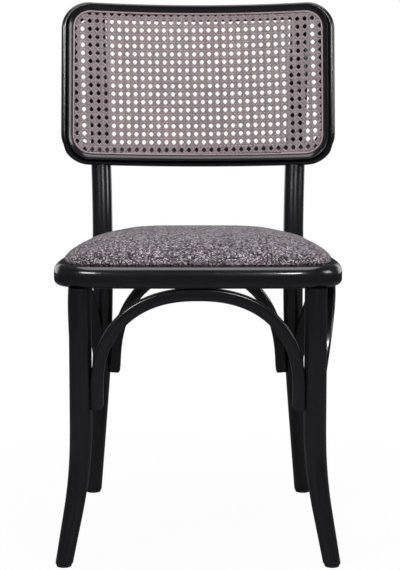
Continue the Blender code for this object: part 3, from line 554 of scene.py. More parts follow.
def kept(material, name):
    """Place that a mesh keeps under a name."""
    return node(material.node_tree, "Attribute", output="Vector", attribute_name=name)


def new_finish(name, **constants):
    """Material with its constant values on the shader's own sockets."""
    material = bpy.data.materials.new(name)
    material.use_nodes = True
    return wired(material, **constants)


def wired(material, **values):
    """Fills the shader's sockets, which are named with _ for a space."""
    tree = material.node_tree
    for key, value in values.items():
        fill(tree, tree.nodes["Principled BSDF"].inputs[key.replace("_", " ")], value)
    return material


def bumps(height, distance, strength):
    return node(height.tree, "Bump", {"Height": height, "Distance": distance, "Strength": strength})


def lacquer_finish():
    """Satin black lacquer: open grain shows through it as fine lines along each piece."""
    colours = settings("finish")
    material = new_finish(
        "lacquer_finish", Roughness=0.22, Specular_IOR_Level=0.45, Coat_Weight=0.45, Coat_Roughness=0.09
    )
    place = kept(material, "grain")
    broad = place.noise((9, 260, 260), 3.0, 0.55)
    fine = place.noise((26, 1250, 1250), 2.0, 0.6)
    pores = fine.ramp(0.60, 0.74)
    lines = broad.ramp(0.42, 0.68) * fine.ramp(0.35, 0.75)
    base = lines.blend(colours.lacquer, colours.lacquer_grain)
    sunk = (pores * 0.6).blend(base, (0.004, 0.004, 0.005))
    rough = place.noise(22.0, 3.0) * 0.06 + lines * 0.08 + 0.17
    normal = bumps(broad * 0.6 - pores, 0.00007, 0.4)
    return wired(material, Base_Color=sunk, Roughness=rough, Normal=normal)


def cane_finish():
    """Split cane: pale and dark strands, fibres along them, and a dark joint now and then."""
    colours = settings("finish")
    material = new_finish(
        "cane_finish", Roughness=0.42, Specular_IOR_Level=0.45, Coat_Weight=0.15, Coat_Roughness=0.25
    )
    place = kept(material, "grain")
    run, _, own = place.parts()
    stain = place.noise((55, 120, 90), 2.0, 0.6)
    fibres = place.noise((120, 4200, 300))
    tone = own * 0.42 + (stain * 1.1 - 0.32) + (fibres - 0.5) * 0.8
    base = tone.ramp(0.05, 0.95).blend(colours.cane_dark, colours.cane_light)
    joint = (run * 5.1 + own * 7.3).math("FRACT").ramp(0.988, 0.992)
    marked = (joint * 0.55).blend(base, colours.cane_dark * 0.5)
    normal = bumps(fibres + joint, 0.00006, 0.5)
    return wired(material, Base_Color=marked, Roughness=stain * 0.25 + 0.32, Normal=normal)


def linen_finish():
    """Thick plain weave: pale warp and dark weft change places at every crossing, with slubs along both, and
    painted shade in the gaps between the yarns.
    """
    colours = settings("finish")
    material = new_finish(
        "linen_finish", Roughness=0.9, Specular_IOR_Level=0.2, Sheen_Weight=0.1, Sheen_Roughness=0.5
    )
    tree = material.node_tree
    place = kept(material, "cloth")
    wander = node(tree, "TexNoise", {"Vector": place, "Scale": 70.0, "Detail": 1.0}, "Color")
    centred = node(tree, "VectorMath", {0: wander, 1: (0.5,) * 3}, operation="SUBTRACT")
    moved = node(tree, "VectorMath", {0: centred, 1: (0.0016,) * 3, 2: place}, operation="MULTIPLY_ADD")
    warp, weft = [part / colours.yarn_pitch for part in moved.parts()[:2]]
    column, line = warp.math("FLOOR"), weft.math("FLOOR")
    speck = random_at(column, line, 0.0)
    warp_tone = speck * 0.35 + yarn_tone(column, weft, 3.1)
    weft_tone = speck * 0.25 + yarn_tone(line, warp, 57.7)
    heather = place.noise((22, 60, 60), 3.0, 0.6).ramp(0.35, 0.65)
    pale = heather.blend(colours.yarn_light, colours.yarn_cool)
    warp_colour = warp_tone.blend(colours.yarn_middle, pale)
    weft_colour = weft_tone.blend(colours.yarn_dark, colours.yarn_middle)
    yarn = (column + line).math("PINGPONG", 1.0).blend(weft_colour, warp_colour)
    streak = place_at(warp * 0.06, line).noise(1.0, 0.0).ramp(0.70, 0.76)
    yarn = (streak * 0.6).blend(yarn, pale)
    fleck = random_at(column, line, 9.0)
    yarn = (fleck.ramp(0.45, 0.9) * 0.92).blend(yarn, colours.yarn_dark)
    yarn = fleck.ramp(0.22, 0.05).blend(yarn, colours.yarn_light * 1.35)
    across, down = [(run.math("FRACT") * math.pi).math("SINE") for run in (warp, weft)]
    height = across.math("POWER", 0.5) * down.math("POWER", 0.5)
    # Painted shade: the colour darkens to the dark yarn in the low gaps between the yarns, where the weave's
    # height falls.
    deep = height.ramp(0.0, 0.55).blend(colours.yarn_dark, yarn)
    fluff = moved.noise(2600.0, 2.0, 0.7)
    return wired(material, Base_Color=deep, Normal=bumps(fluff * 0.35 + height, 0.0005, 0.7))


def random_at(column, line, level):
    """One random value for every crossing of two yarns."""
    return node(column.tree, "TexWhiteNoise", {"Vector": place_at(column, line, level)}, "Value")


def yarn_tone(number, run, seed):
    """Tone of one yarn: its own dye, and slubs along its run."""
    own = node(number.tree, "TexWhiteNoise", {"W": number + seed}, "Value", noise_dimensions="1D")
    slub = place_at(number * 13.37, run * 0.23, seed).noise(1.0, 2.0, 0.7)
    return (own * 0.3 + slub).ramp(0.35, 1.0)


def plywood_finish():
    """Sanded birch faces with long grain, and thin dark glue lines on the edges."""
    pale = settings("finish").plywood
    material = new_finish("plywood_finish", Roughness=0.62)
    place = node(material.node_tree, "TexCoord", output="Object")
    broad = place.noise((4, 60, 4), 4.0, 0.6)
    fine = place.noise((30, 900, 30))
    face = (fine * 0.35 + broad * 0.75).ramp(0.35, 0.8).blend(pale, pale * 0.62)
    glue = (place.parts()[2] / 0.0013).math("PINGPONG", 1.0).ramp(0.80, 0.95)
    upright = node(material.node_tree, "NewGeometry", output="Normal").parts()[2].math("ABSOLUTE")
    edge = glue - glue * upright.ramp(0.3, 0.6)
    normal = bumps(fine, 0.00015, 0.5)
    return wired(material, Base_Color=edge.blend(face, (0.16, 0.09, 0.045)), Normal=normal)


def zinc_finish():
    """Bright zinc plate with faint turning lines and duller patches."""
    bright = settings("finish").zinc
    material = new_finish("zinc_finish", Roughness=0.34, Metallic=1.0)
    place = node(material.node_tree, "TexCoord", output="Object")
    patches = place.noise(900.0, 3.0, 0.6)
    base = patches.blend(bright, bright * 0.78)
    normal = bumps(place.noise((300, 300, 9000)), 0.00003, 0.5)
    return wired(material, Base_Color=base, Roughness=patches * 0.25 + 0.24, Normal=normal)


def glide_finish():
    """Grey moulded plastic with a fine spark finish and scuffs."""
    grey = settings("finish").glide
    material = new_finish("glide_finish", Roughness=0.5)
    place = node(material.node_tree, "TexCoord", output="Object")
    scuff = place.noise(160.0, 4.0, 0.7).ramp(0.52, 0.72)
    base = scuff.blend(grey, grey * 1.35)
    normal = bumps(place.noise(3200.0, 2.0, 0.6), 0.00004, 0.6)
    return wired(material, Base_Color=base, Roughness=scuff * 0.2 + 0.42, Normal=normal)


def shared(maker):
    """The one material of a finish, made when it is first asked for."""
    return bpy.data.materials.get(maker.__name__) or maker()


# Seat ring


def ring_section(seat):
    """(outward, up) outline of the ring, rebate included."""
    inner, high = -seat.ring_width, seat.ring_thickness
    step, floor = inner + seat.rebate_width, high - seat.rebate_depth
    corners = [
        (0.0, 0.0, seat.low_round),
        (0.0, high, seat.top_round),
        (step, high, 0.0012),
        (step, floor, 0.0),
        (inner, floor, 0.0008),
        (inner, 0.0, 0.0025),
    ]
    return rounded(corners, 7)


class CHAIR_OT_seat_ring(bpy.types.Operator):
    """Bent seat ring with its rounded edge and the rebate for the pad"""

    bl_idname = "chair.seat_ring"
    bl_label = "Seat ring"

    def execute(self, context):
        seat = context.scene.chair_seat
        start = math.pi / 2
        turns, run = even_turns(seat, start, start + 2 * math.pi, seat.steps)
        section = ring_section(seat)
        edge, normal = plan_raw(seat, turns[:-1]), plan_normal(seat, turns[:-1])
        rings = [
            [(*(point + out * a), seat.height + b) for a, b in section] for point, out in zip(edge, normal)
        ]
        along = np.linspace(0, run, seat.steps + 1)
        mesh = skin("seat_ring_bentwood", rings, along, section, closed=True)
        lacquered("seat_ring_bentwood", mesh, "seat_ring")
        return {"FINISHED"}


# Legs


def make_legs(row, axis, radius, top, dome, way):
    """Both legs of a row, and how the wood was worked in their names."""
    for side, side_name in SIDE_NAMES.items():
        name = f"{row}_leg_{side_name}"
        mesh = leg_mesh(name, lambda z: axis(side, z), radius, top, dome)
        lacquered(f"{name}_{way}", mesh, name)


class CHAIR_OT_front_legs(bpy.types.Operator):
    """Front legs: straight at the seat, tapered and swept out at the floor"""

    bl_idname = "chair.front_legs"
    bl_label = "Front legs"

    def execute(self, context):
        top = context.scene.chair_seat.height - context.scene.chair_back.gap
        make_legs("front", front_leg_axis, front_leg_radius, top, 0.0, "turned")
        return {"FINISHED"}


class CHAIR_OT_back_legs(bpy.types.Operator):
    """Back legs, each one rod that is bent from the foot up to the back frame's top rail"""

    bl_idname = "chair.back_legs"
    bl_label = "Back legs and posts"

    dome = 0.004

    def execute(self, context):
        legs, back = context.scene.chair_legs, context.scene.chair_back
        top = back.level + (back.height - legs.shortfall) * math.cos(back.tilt)
        make_legs("back", back_leg_axis, back_leg_radius, top, self.dome, "bent")
        return {"FINISHED"}


# Hoops


def hoop_ends(legs, ways, z):
    """Ends of a hoop at a height: ways point from each leg's axis to the hoop."""
    hoops = settings("hoops")
    reach = hoops.thickness / 2 - hoops.lap
    return [axis(z) + way * (radius(z) + reach) for (axis, radius), way in zip(legs, ways)]


def hoop_path(ends, heights, across, reach):
    """Points from one leg up under the ring and down to the other leg."""
    seat, hoops, back = settings("seat"), settings("hoops"), settings("back")
    low, spring = heights
    top = seat.height - back.gap - hoops.thickness / 2
    upright = [low + (spring - low) * k / 8 for k in range(8)]
    path = [(1.0, z) for z in upright]
    for step in range(hoops.steps + 1):
        turn = math.pi * step / hoops.steps
        side = math.copysign(abs(math.cos(turn)) ** (2 / hoops.power), math.cos(turn))
        path.append((side, spring + (top - spring) * abs(math.sin(turn)) ** (2 / hoops.power)))
    path += [(-1.0, z) for z in reversed(upright)]
    points = []
    for side, z in path:
        start, end = ends(z)
        point = start * (1 + side) / 2 + end * (1 - side) / 2
        lift = ((z - low) / (top - low)) ** hoops.lift
        point += across * (reach - point.dot(across)) * lift
        points.append((point.x, point.y, z))
    return points


def evened(points, number):
    """The same path with its points at equal distances, and those distances."""
    points = np.array(points)
    run = np.concatenate([[0], np.cumsum(np.linalg.norm(np.diff(points, axis=0), axis=1))])
    even = np.linspace(0, run[-1], number + 1)
    return np.stack([np.interp(even, run, column) for column in points.T], -1), even


def hoop_mesh(name, path, across):
    """Hoop of flat-sided section with eased edges, and ends that are rounded off."""
    hoops = settings("hoops")
    half, wide, end_round, look = hoops.thickness / 2, hoops.width / 2, hoops.end_round, 0.004
    corners = ((-1, 1), (1, 1), (1, -1), (-1, -1))
    section = rounded([(a * half, b * wide, hoops.rounding) for a, b in corners], 6)
    points, along = evened(path, hoops.steps)
    total = along[-1]

    def at(station):
        return Vector([np.interp(station, along, column) for column in points.T])

    extra = [end_round * (1 - math.cos(math.pi / 2 * k / 5)) for k in range(6)]
    stations = sorted({*along, *extra, *[total - distance for distance in extra]})
    rings = []
    for station in stations:
        tangent = (at(min(station + look, total)) - at(max(station - look, 0.0))).normalized()
        inward = across.cross(tangent).normalized()
        side = tangent.cross(inward).normalized()
        short = max(end_round - min(station, total - station), 0.0)
        ease = end_round - math.sqrt(max(end_round**2 - short**2, 0.0))
        limit, point = wide - 0.25 * ease, at(station)
        rings.append([
            point + inward * min(a, half - ease) + side * max(-limit, min(limit, b)) for a, b in section
        ])
    return skin(name, rings, stations, section)


class CHAIR_OT_hoops(bpy.types.Operator):
    """Four bent hoops that brace the legs under the seat ring"""

    bl_idname = "chair.hoops"
    bl_label = "Hoops"

    # Heights of the ends and of the arch's spring, and how far the side hoops bow out
    heights = {"front": (0.236, 0.264), "rear": (0.230, 0.250), "side": (0.236, 0.262)}
    bows = {LEFT: 0.194, RIGHT: 0.207}

    def execute(self, context):
        seat = context.scene.chair_seat
        centre = seat.ring_width / 2
        front = [(lambda z, s=side: front_leg_axis(s, z), front_leg_radius) for side in SIDE_NAMES]
        rear = [(lambda z, s=side: back_leg_axis(s, z), back_leg_radius) for side in SIDE_NAMES]
        inwards = (X_AXIS, -X_AXIS)
        self.make("front_hoop", front, inwards, self.heights["front"], Y_AXIS, seat.front + centre)
        self.make("rear_hoop", rear, inwards, self.heights["rear"], Y_AXIS, seat.rear - centre)
        for legs, (side, side_name) in zip(zip(front, rear), SIDE_NAMES.items()):
            reach = side * self.bows[side]
            self.make(side_name + "_hoop", legs, (Y_AXIS, -Y_AXIS), self.heights["side"], X_AXIS, reach)
        return {"FINISHED"}

    def make(self, name, legs, ways, heights, across, reach):
        path = hoop_path(lambda z: hoop_ends(legs, ways, z), heights, across, reach)
        lacquered(name + "_bent", hoop_mesh(name, path, across), name)


# Back frame and cane, made flat as (across, depth, up) and then bent


def on_back(u, w, v):
    """Place of a flat point on the bent and leaning back: u across, w back, v up."""
    seat, back = settings("seat"), settings("back")
    turn = u / back.bend
    x = (back.bend + w) * math.sin(turn)
    y = (back.bend + w) * math.cos(turn) - back.bend
    cosine, sine = math.cos(back.tilt), math.sin(back.tilt)
    foot = seat.rear + back.setback
    return Vector((x, foot + y * cosine + v * sine, back.level + v * cosine - y * sine))


def back_outline(corner_steps=26, spacing=0.007):
    """(point, outward direction) round the frame's flat outer edge, from the middle of its bottom rail."""
    back = settings("back")
    flat = back.half_width - back.corner
    tall = back.height / 2 - back.corner
    middle = Vector((0, back.height / 2))
    outline = []
    foot = last = Vector((0, -back.height / 2))
    for across, up, first in ((1, -1, -90), (1, 1, 0), (-1, 1, 90), (-1, -1, 180)):
        centre = Vector((across * flat, up * tall))
        arc = []
        for step in range(corner_steps + 1):
            turn = math.radians(first + 90 * step / corner_steps)
            out = Vector((math.cos(turn), math.sin(turn)))
            arc.append((centre + out * back.corner, out))
        outline += straight(last, *arc[0], spacing) + arc
        last = arc[-1][0]
    outline += straight(last, foot, Vector((0, -1)), spacing)
    return [(point + middle, out) for point, out in outline]


def straight(start, end, out, spacing):
    """Points between start and end, with neither of them."""
    number = max(int((end - start).length / spacing), 2)
    return [(start.lerp(end, k / number), out) for k in range(1, number)]


def ledge_rise(v, depth):
    """How far the ledge behind the cane rises above an even one: it is wider on the bottom rail."""
    back = settings("back")
    inner = -groove_edges(back)[1] + 0.0005
    if depth < back.ledge - 1e-6 or v < inner:
        return 0.0
    grow = min((v - inner) / (back.rail - inner), 1.0)
    fade = min(max((v - back.rail) / (3 * back.rail), 0.0), 1.0)
    return back.low_ledge * grow * (1 - fade * fade * (3 - 2 * fade))


def back_sweep(name, section):
    """Sweep of (outward, depth) points round the frame's outline."""
    outline = back_outline()
    rings = []
    along = [0.0]
    for k, (point, out) in enumerate(outline):
        flats = [(point + out * a, depth) for a, depth in section]
        rings.append([on_back(flat.x, depth, flat.y + ledge_rise(flat.y, depth)) for flat, depth in flats])
        after = outline[(k + 1) % len(outline)][0]
        along.append(along[-1] + (after - point).length)
    return skin(name, rings, along, section, closed=True)


def groove_edges(back):
    outer = -back.face - 0.0004
    return outer, outer - back.groove


def frame_section(back):
    """Crowned face that falls to a thin lip, groove for the spline, ledge for the cane, eased back edges.

    The last of the first three corners is rounded towards `middle`, so the front outer edge is cut well back.
    """
    outer, inner = groove_edges(back)
    floor, web_edge = back.ledge + back.groove_depth, inner - 0.0003
    middle = (-back.rail / 2, back.depth, 0)
    section = rounded([middle, (0.0, back.depth, 0.0035), (0.0, 0.0, 0.0045)], 6)
    shoulder, fall = -0.006, 0.0044
    for k in range(1, 11):
        t = k / 10
        section.append((shoulder + (-back.face - shoulder) * t, fall * t**1.7))
    section += [(outer, fall + 0.0006), (outer, floor), (inner, floor), (inner, back.ledge + 0.0003)]
    section.append((web_edge, back.ledge))
    rest = [(-back.rail, back.ledge + 0.0022, 0.0012), (-back.rail, back.depth, 0.0028), middle]
    return section + rounded([(web_edge, back.ledge, 0), *rest], 4)[1:-1]


class CHAIR_OT_back_frame(bpy.types.Operator):
    """Bent back frame with its crowned face and the step that holds the cane"""

    bl_idname = "chair.back_frame"
    bl_label = "Back frame"

    def execute(self, context):
        mesh = back_sweep("back_frame_bent", frame_section(context.scene.chair_back))
        lacquered("back_frame_bent", mesh, "back_frame")
        return {"FINISHED"}


class CHAIR_OT_cane_spline(bpy.types.Operator):
    """Round-topped cane spline that is pressed into the groove over the webbing's edge"""

    bl_idname = "chair.cane_spline"
    bl_label = "Cane spline"

    rise = 0.0014
    tone = 1.9

    def execute(self, context):
        back, cane = context.scene.chair_back, context.scene.chair_cane
        outer, inner = groove_edges(back)
        outer, inner = outer - back.gap, inner + back.gap
        middle, half = (outer + inner) / 2, (outer - inner) / 2
        floor = back.ledge + back.groove_depth - back.gap
        spring = back.ledge - 2 * cane.thickness - self.rise / 2
        section = [(outer, floor)]
        for k in range(11):
            turn = math.pi * k / 10
            section.append((middle + half * math.cos(turn), spring - self.rise * math.sin(turn)))
        section.append((inner, floor))
        mesh = back_sweep("cane_spline_bead", section)
        keep_tone(mesh, self.tone)
        piece("cane_spline_bead", mesh, shared(cane_finish), ["cane_spline"])
        return {"FINISHED"}


# Cane webbing


def pair_wave(x):
    """Wave of a strand of a pair about its crossing with another pair: 1 at x = 1, -1 at x = -1."""
    return x * math.exp((1 - x * x) / 2)


def keep_tone(mesh, tone):
    """Gives the whole of a cane piece one tone."""
    grain = mesh.attributes["grain"]
    values = np.empty(len(grain.data) * 3, np.float32)
    grain.data.foreach_get("vector", values)
    values[2::3] = tone
    grain.data.foreach_set("vector", values)


def strand_runs(back, cane):
    """(points on a line, direction, wave) of every strand in the webbing's own level grid."""
    across, up = cane.pitch_across, cane.pitch_up
    columns = int(2 * back.half_width / across / 2) + 3
    rows = int(back.height / up) + 3
    runs = []
    for k in range(-columns, columns + 1):
        for hand in (-1, 1):
            start = Vector((k * across + hand * cane.pair_across, 0))
            wave = lambda a, b, hand=hand: -hand * cane.wave * pair_wave(near(b, up) / cane.pair_up)
            runs.append((start, Vector((0, 1)), wave))
    for k in range(-rows, rows + 1):
        for hand in (-1, 1):
            start = Vector((0, k * up + hand * cane.pair_up))
            wave = lambda a, b, hand=hand: hand * cane.wave * pair_wave(near(a, across) / cane.pair_across)
            runs.append((start, Vector((1, 0)), wave))
    for k in range(-columns - rows, columns + rows + 1):
        for hand in (-1, 1):
            start = Vector(((k + 0.5) * across, 0))
            wave = lambda a, b, hand=hand: hand * cane.diagonal_wave * math.cos(2 * math.pi * a / across)
            runs.append((start, Vector((across, hand * up)).normalized(), wave))
    return runs


def near(value, pitch):
    """Signed distance to the nearest multiple of a pitch."""
    return value - pitch * round(value / pitch)


def inside_web(back, u, v, edge):
    """Whether a flat point lies inside the webbing's rounded outline."""
    radius = back.corner + edge
    du = abs(u) - (back.half_width + edge - radius)
    dv = abs(v - back.height / 2) - (back.height / 2 + edge - radius)
    if du > 0 and dv > 0:
        return math.hypot(du, dv) < radius
    return du < radius and dv < radius


class CHAIR_OT_cane_webbing(bpy.types.Operator):
    """Woven cane: upright and level pairs of strands, and slanting strands both ways through them"""

    bl_idname = "chair.cane_webbing"
    bl_label = "Cane webbing"

    def execute(self, context):
        back, cane = context.scene.chair_back, context.scene.chair_cane
        draws = np.random.default_rng(7)
        edge = groove_edges(back)[1] + 0.0004
        lean, rise = math.tan(cane.lean), math.tan(cane.rise)
        origin = Vector((cane.shift, cane.first_row + 7.5 * cane.pitch_up))
        step = cane.pitch_across / 6
        number = int((back.half_width + back.height) / step)
        body = [], [], []
        for start, direction, wave in strand_runs(back, cane):
            tone, shift = draws.random(), draws.random() * 3.0
            side = Vector((-direction.y - lean * direction.x, direction.x - rise * direction.y)).normalized()
            run = []
            for k in range(-number, number + 1):
                spot = start + direction * k * step
                flat = Vector((origin.x + spot.x - lean * spot.y, origin.y + spot.y + rise * spot.x))
                if inside_web(back, *flat, edge):
                    run.append((flat, wave(spot.x, spot.y), k * step + shift))
            if len(run) > 2:
                self.add_strand(run, side, tone, *body)
        verts, faces, grain = body
        mesh = meshed("cane_webbing", verts, faces)
        keep(mesh, "grain", "POINT", grain)
        piece("cane_webbing", facing_out(mesh, 60), shared(cane_finish), ["cane_panel"])
        return {"FINISHED"}

    def add_strand(self, run, side, tone, verts, faces, grain):
        """One strand with a flat back and a domed front, along a run of (flat point, wave, distance)."""
        back, cane = settings("back"), settings("cane")
        half, thin = cane.strand / 2, cane.thickness / 2
        surface = back.ledge - cane.diagonal_wave - thin - 0.0002
        profile = [(-half, thin), (-half * 0.9, -thin * 0.2), (-half * 0.4, -thin)]
        profile += [(-a, b) for a, b in reversed(profile)]
        size, first = len(profile), len(verts)
        for flat, bend, distance in run:
            for a, b in profile:
                verts.append(on_back(flat.x + side.x * a, surface - bend + b, flat.y + side.y * a))
                grain.append((distance, a, tone))
        last = first + (len(run) - 1) * size
        for low in range(first, last, size):
            for j in range(size):
                right = (j + 1) % size
                faces.append((low + j, low + right, low + size + right, low + size + j))
        faces += [list(range(end, end + size)) for end in (first, last)]


# Seat pad


def pad_levels(seat, back):
    """(underside of the cover, underside of the board, level where the crown starts)."""
    under = seat.height + seat.ring_thickness - seat.rebate_depth + back.gap
    board = under + seat.cover_thickness + back.gap
    return under, board, board + seat.board_thickness + 0.001


def pad_grid(seat, inset):
    """Places over the seat as concentric squares of cells: (x, y, share of the way to the edge)."""
    cells = seat.cells
    quarters = []
    for side in range(4):
        start = math.pi / 4 + side * math.pi / 2
        quarters.append(even_turns(seat, start, start + math.pi / 2, cells)[0])
    middle = np.array([0.0, (seat.rear + seat.front) / 2])
    rows = []
    for line in range(cells + 1):
        for column in range(cells + 1):
            a, b = 2 * column / cells - 1, 2 * line / cells - 1
            size = max(abs(a), abs(b))
            if size < 1e-9:
                rows.append((*middle, 0.0))
                continue
            if b == size:
                side, where = 0, (1 - a / size) / 2
            elif a == -size:
                side, where = 1, (1 - b / size) / 2
            elif b == -size:
                side, where = 2, (1 + a / size) / 2
            else:
                side, where = 3, (1 + b / size) / 2
            turn = np.interp(where * cells, np.arange(cells + 1), quarters[side])
            edge = plan_raw(seat, turn) - plan_normal(seat, turn) * inset
            size = math.sin(math.pi / 2 * size)
            rows.append((*(middle + (edge - middle) * size), size))
    return rows, np.concatenate([q[:-1] for q in quarters])


def border_index(cells):
    """Grid vertices along the border, in the order of the turns from the rear right corner."""
    row = cells + 1
    rear, front = range(row * row - 1, cells * row, -1), range(cells)
    left, right = range(cells * row, 0, -row), range(cells, row * row - 1, row)
    return [*rear, *left, *front, *right]


def grid_faces(cells):
    lows = [line * (cells + 1) + column for line in range(cells) for column in range(cells)]
    return [(low, low + 1, low + cells + 2, low + cells + 1) for low in lows]


class CHAIR_OT_cushion(bpy.types.Operator):
    """Padded seat: fabric over foam, swollen by a cloth simulation and turned under the board"""

    bl_idname = "chair.cushion"
    bl_label = "Seat pad"

    frames = 20

    def execute(self, context):
        seat, back = context.scene.chair_seat, context.scene.chair_back
        pad = self.shell(seat, back)
        self.swell(context.scene, pad, seat)
        subdivide(pad)
        self.keep_cloth_place(pad.data, seat, back)
        pad.data.materials.append(shared(linen_finish))
        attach(pad, "root")
        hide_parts("seat_cover", "seat_foam")
        return {"FINISHED"}

    def shell(self, seat, back):
        """Crown, sides and hem as one closed body round the board's edge."""
        outer = seat.ring_width - seat.rebate_width + back.gap
        under, board, shoulder = pad_levels(seat, back)
        rows, turns = pad_grid(seat, outer - seat.overhang)
        height = seat.height + seat.ring_thickness + seat.crown - shoulder
        verts = []
        for x, y, size in rows:
            rise = max(1 - size**seat.crown_power, 0.0) ** (1 / seat.crown_fullness)
            verts.append((x, y, shoulder + height * rise))
        cells = seat.cells
        faces = grid_faces(cells)
        edge, normal = plan_raw(seat, turns), plan_normal(seat, turns)
        thin = seat.cover_thickness
        top = board + seat.board_thickness + back.gap
        side = [(-seat.overhang * 0.6, shoulder - 0.0008), (0.0, shoulder - 0.0035), (0.0, under + 0.004)]
        turned_in = [(0.0003, under + 0.0012), (0.0015, under), (seat.hem, under), (seat.hem, under + thin)]
        inside = [(thin + 0.0003, under + thin), (thin + 0.0003, top)]
        ring = border_index(cells)
        for inset, z in side + turned_in + inside:
            points = edge - normal * (outer + inset)
            new = list(range(len(verts), len(verts) + len(ring)))
            verts += [(x, y, z) for x, y in points]
            for k in range(len(ring)):
                after = (k + 1) % len(ring)
                faces.append((ring[k], ring[after], new[after], new[k]))
            ring = new
        verts, faces = self.closed_below(verts, faces, ring, cells)
        pad = added("seat_pad", facing_out(meshed("seat_pad", verts, faces), 60))
        pad.matrix_world = Matrix.Translation(placed())
        held = pad.vertex_groups.new(name="held")
        free = (cells + 1) ** 2
        held.add(list(range(free, len(verts))), 1.0, "REPLACE")
        held.add(border_index(cells), 0.6, "REPLACE")
        return pad

    def closed_below(self, verts, faces, ring, cells):
        """Closes the pad over the board with squares of cells that follow its crown."""
        rim = np.array([verts[k] for k in ring])
        level = rim[0, 2]
        numbers = dict(zip(border_index(cells), ring))
        crown = np.array([verts[k][:2] for k in range((cells + 1) ** 2)])
        middle = crown.mean(0)
        border = crown[border_index(cells)]
        shrink = np.abs(rim[:, :2] - middle).max(0) / np.abs(border - middle).max(0)
        for k, flat in enumerate(crown):
            if k not in numbers:
                numbers[k] = len(verts)
                verts.append((*(middle + (flat - middle) * shrink), level))
        for first, *others in grid_faces(cells):
            faces.append([numbers[k] for k in (first, *reversed(others))])
        return verts, faces

    def swell(self, scene, pad, seat):
        """Pushes the fabric out as foam does, held along the rebate and within its limit."""
        rest = np.array([v.co[:] for v in pad.data.vertices])
        cloth = pad.modifiers.new("foam", "CLOTH")
        fabric = cloth.settings
        fabric.use_pressure = True
        fabric.uniform_pressure_force = seat.pressure
        fabric.effector_weights.gravity = 0
        fabric.vertex_group_mass = "held"
        fabric.tension_stiffness = fabric.compression_stiffness = 30
        fabric.bending_stiffness = 4
        fabric.mass = 0.3
        cloth.collision_settings.use_collision = False
        for number in range(1, self.frames + 1):
            scene.frame_set(number)
        graph = bpy.context.evaluated_depsgraph_get()
        moved = np.array([v.co[:] for v in pad.evaluated_get(graph).data.vertices])
        push = moved - rest
        size = np.linalg.norm(push, axis=1, keepdims=True)
        push *= np.minimum(1.0, seat.swell / np.maximum(size, 1e-9))
        pad.modifiers.remove(cloth)
        scene.frame_set(1)
        pad.data.vertices.foreach_set("co", (rest + push).astype(np.float32).ravel())
        pad.data.update()

    def keep_cloth_place(self, mesh, seat, back):
        """Keeps where each point lay on the flat cloth: its plan, carried on down the sides."""
        _, _, shoulder = pad_levels(seat, back)
        height = seat.height + seat.ring_thickness + seat.crown - shoulder
        size = np.linspace(0, 1, 400)
        rise = height * (1 - size**seat.crown_power) ** (1 / seat.crown_fullness)
        run = size * (seat.rear - seat.front) / 2
        longer = np.cumsum(np.hypot(np.diff(run), np.diff(rise)) - np.diff(run))
        co = np.array([v.co[:] for v in mesh.vertices])
        middle = np.array([0.0, (seat.rear + seat.front) / 2])
        away = co[:, :2] - middle
        half = np.array([seat.half_width, (seat.rear - seat.front) / 2])
        out = np.sign(away) * np.abs(away / half) ** (seat.squareness - 1)
        out /= np.maximum(np.linalg.norm(out, axis=1, keepdims=True), 1e-9)
        above = np.interp(co[:, 2] - shoulder, rise[:0:-1], longer[::-1])
        below = np.maximum(shoulder - co[:, 2], 0.0)
        drop = (above + below + 1.6 * np.minimum(below, 0.0035))[:, None]
        flat = np.column_stack([co[:, :2] + out * drop, np.zeros(len(co))])
        keep(mesh, "cloth", "POINT", flat)


def evaluated_mesh(obj):
    """The mesh that an object's modifiers make."""
    return bpy.data.meshes.new_from_object(obj.evaluated_get(bpy.context.evaluated_depsgraph_get()))


def subdivide(obj):
    """Applies one round of subdivision."""
    finer = obj.modifiers.new("finer", "SUBSURF")
    finer.levels = 1
    finer.render_levels = 1
    mesh = evaluated_mesh(obj)
    obj.modifiers.clear()
    obj.data = mesh


# Board, fasteners and glides


class CHAIR_OT_seat_board(bpy.types.Operator):
    """Plywood board under the foam, seen from below"""

    bl_idname = "chair.seat_board"
    bl_label = "Seat board"

    def execute(self, context):
        frame["nodes"]["seat_board"].material_slots[0].material = shared(plywood_finish)
        return {"FINISHED"}


def axis_of(name):
    """(end with the head, direction to the other end, length, radius of the head) of a screw or bolt."""
    co = np.array([v.co[:] for v in frame["nodes"][name].data.vertices])
    middle = co.mean(0)
    line = np.linalg.svd(co - middle)[2][0]
    run = (co - middle) @ line
    radius = np.linalg.norm(co - middle - np.outer(run, line), axis=1)
    if run[radius.argmax()] > 0:
        line, run = -line, -run
    head = middle + line * run.min()
    return Vector(head), Vector(line), float(run.max() - run.min()), float(radius.max())


def cut_recess(mesh, cutter):
    """A mesh with a recess cut by another mesh."""
    body, tool = added("body", mesh), added("tool", cutter)
    cut = body.modifiers.new("recess", "BOOLEAN")
    cut.object, cut.operation, cut.solver = tool, "DIFFERENCE", "EXACT"
    made = evaluated_mesh(body)
    for obj in (body, tool):
        bpy.data.objects.remove(obj)
    if not made.polygons:
        raise RuntimeError(f"cutting {cutter.name} left nothing of {mesh.name}")
    made.name = mesh.name + "_cut"
    return made


def cross_recess(size, deep):
    """The two tapered bars that cut a screw head's cross recess, one after the other."""
    bars = []
    for turn in (0, math.pi / 2):
        verts = []
        for z, reach, thick in ((-0.001, size, size * 0.26), (deep, size * 0.45, size * 0.12)):
            for a, b in ((-1, -1), (1, -1), (1, 1), (-1, 1)):
                verts.append((*turned_by(Vector((a * reach, b * thick)), turn), z))
        faces = [(0, 1, 2, 3), (4, 5, 6, 7)]
        faces += [(k, (k + 1) % 4, 4 + (k + 1) % 4, 4 + k) for k in range(4)]
        bars.append(facing_out(meshed("cross_recess", verts, faces)))
    return bars


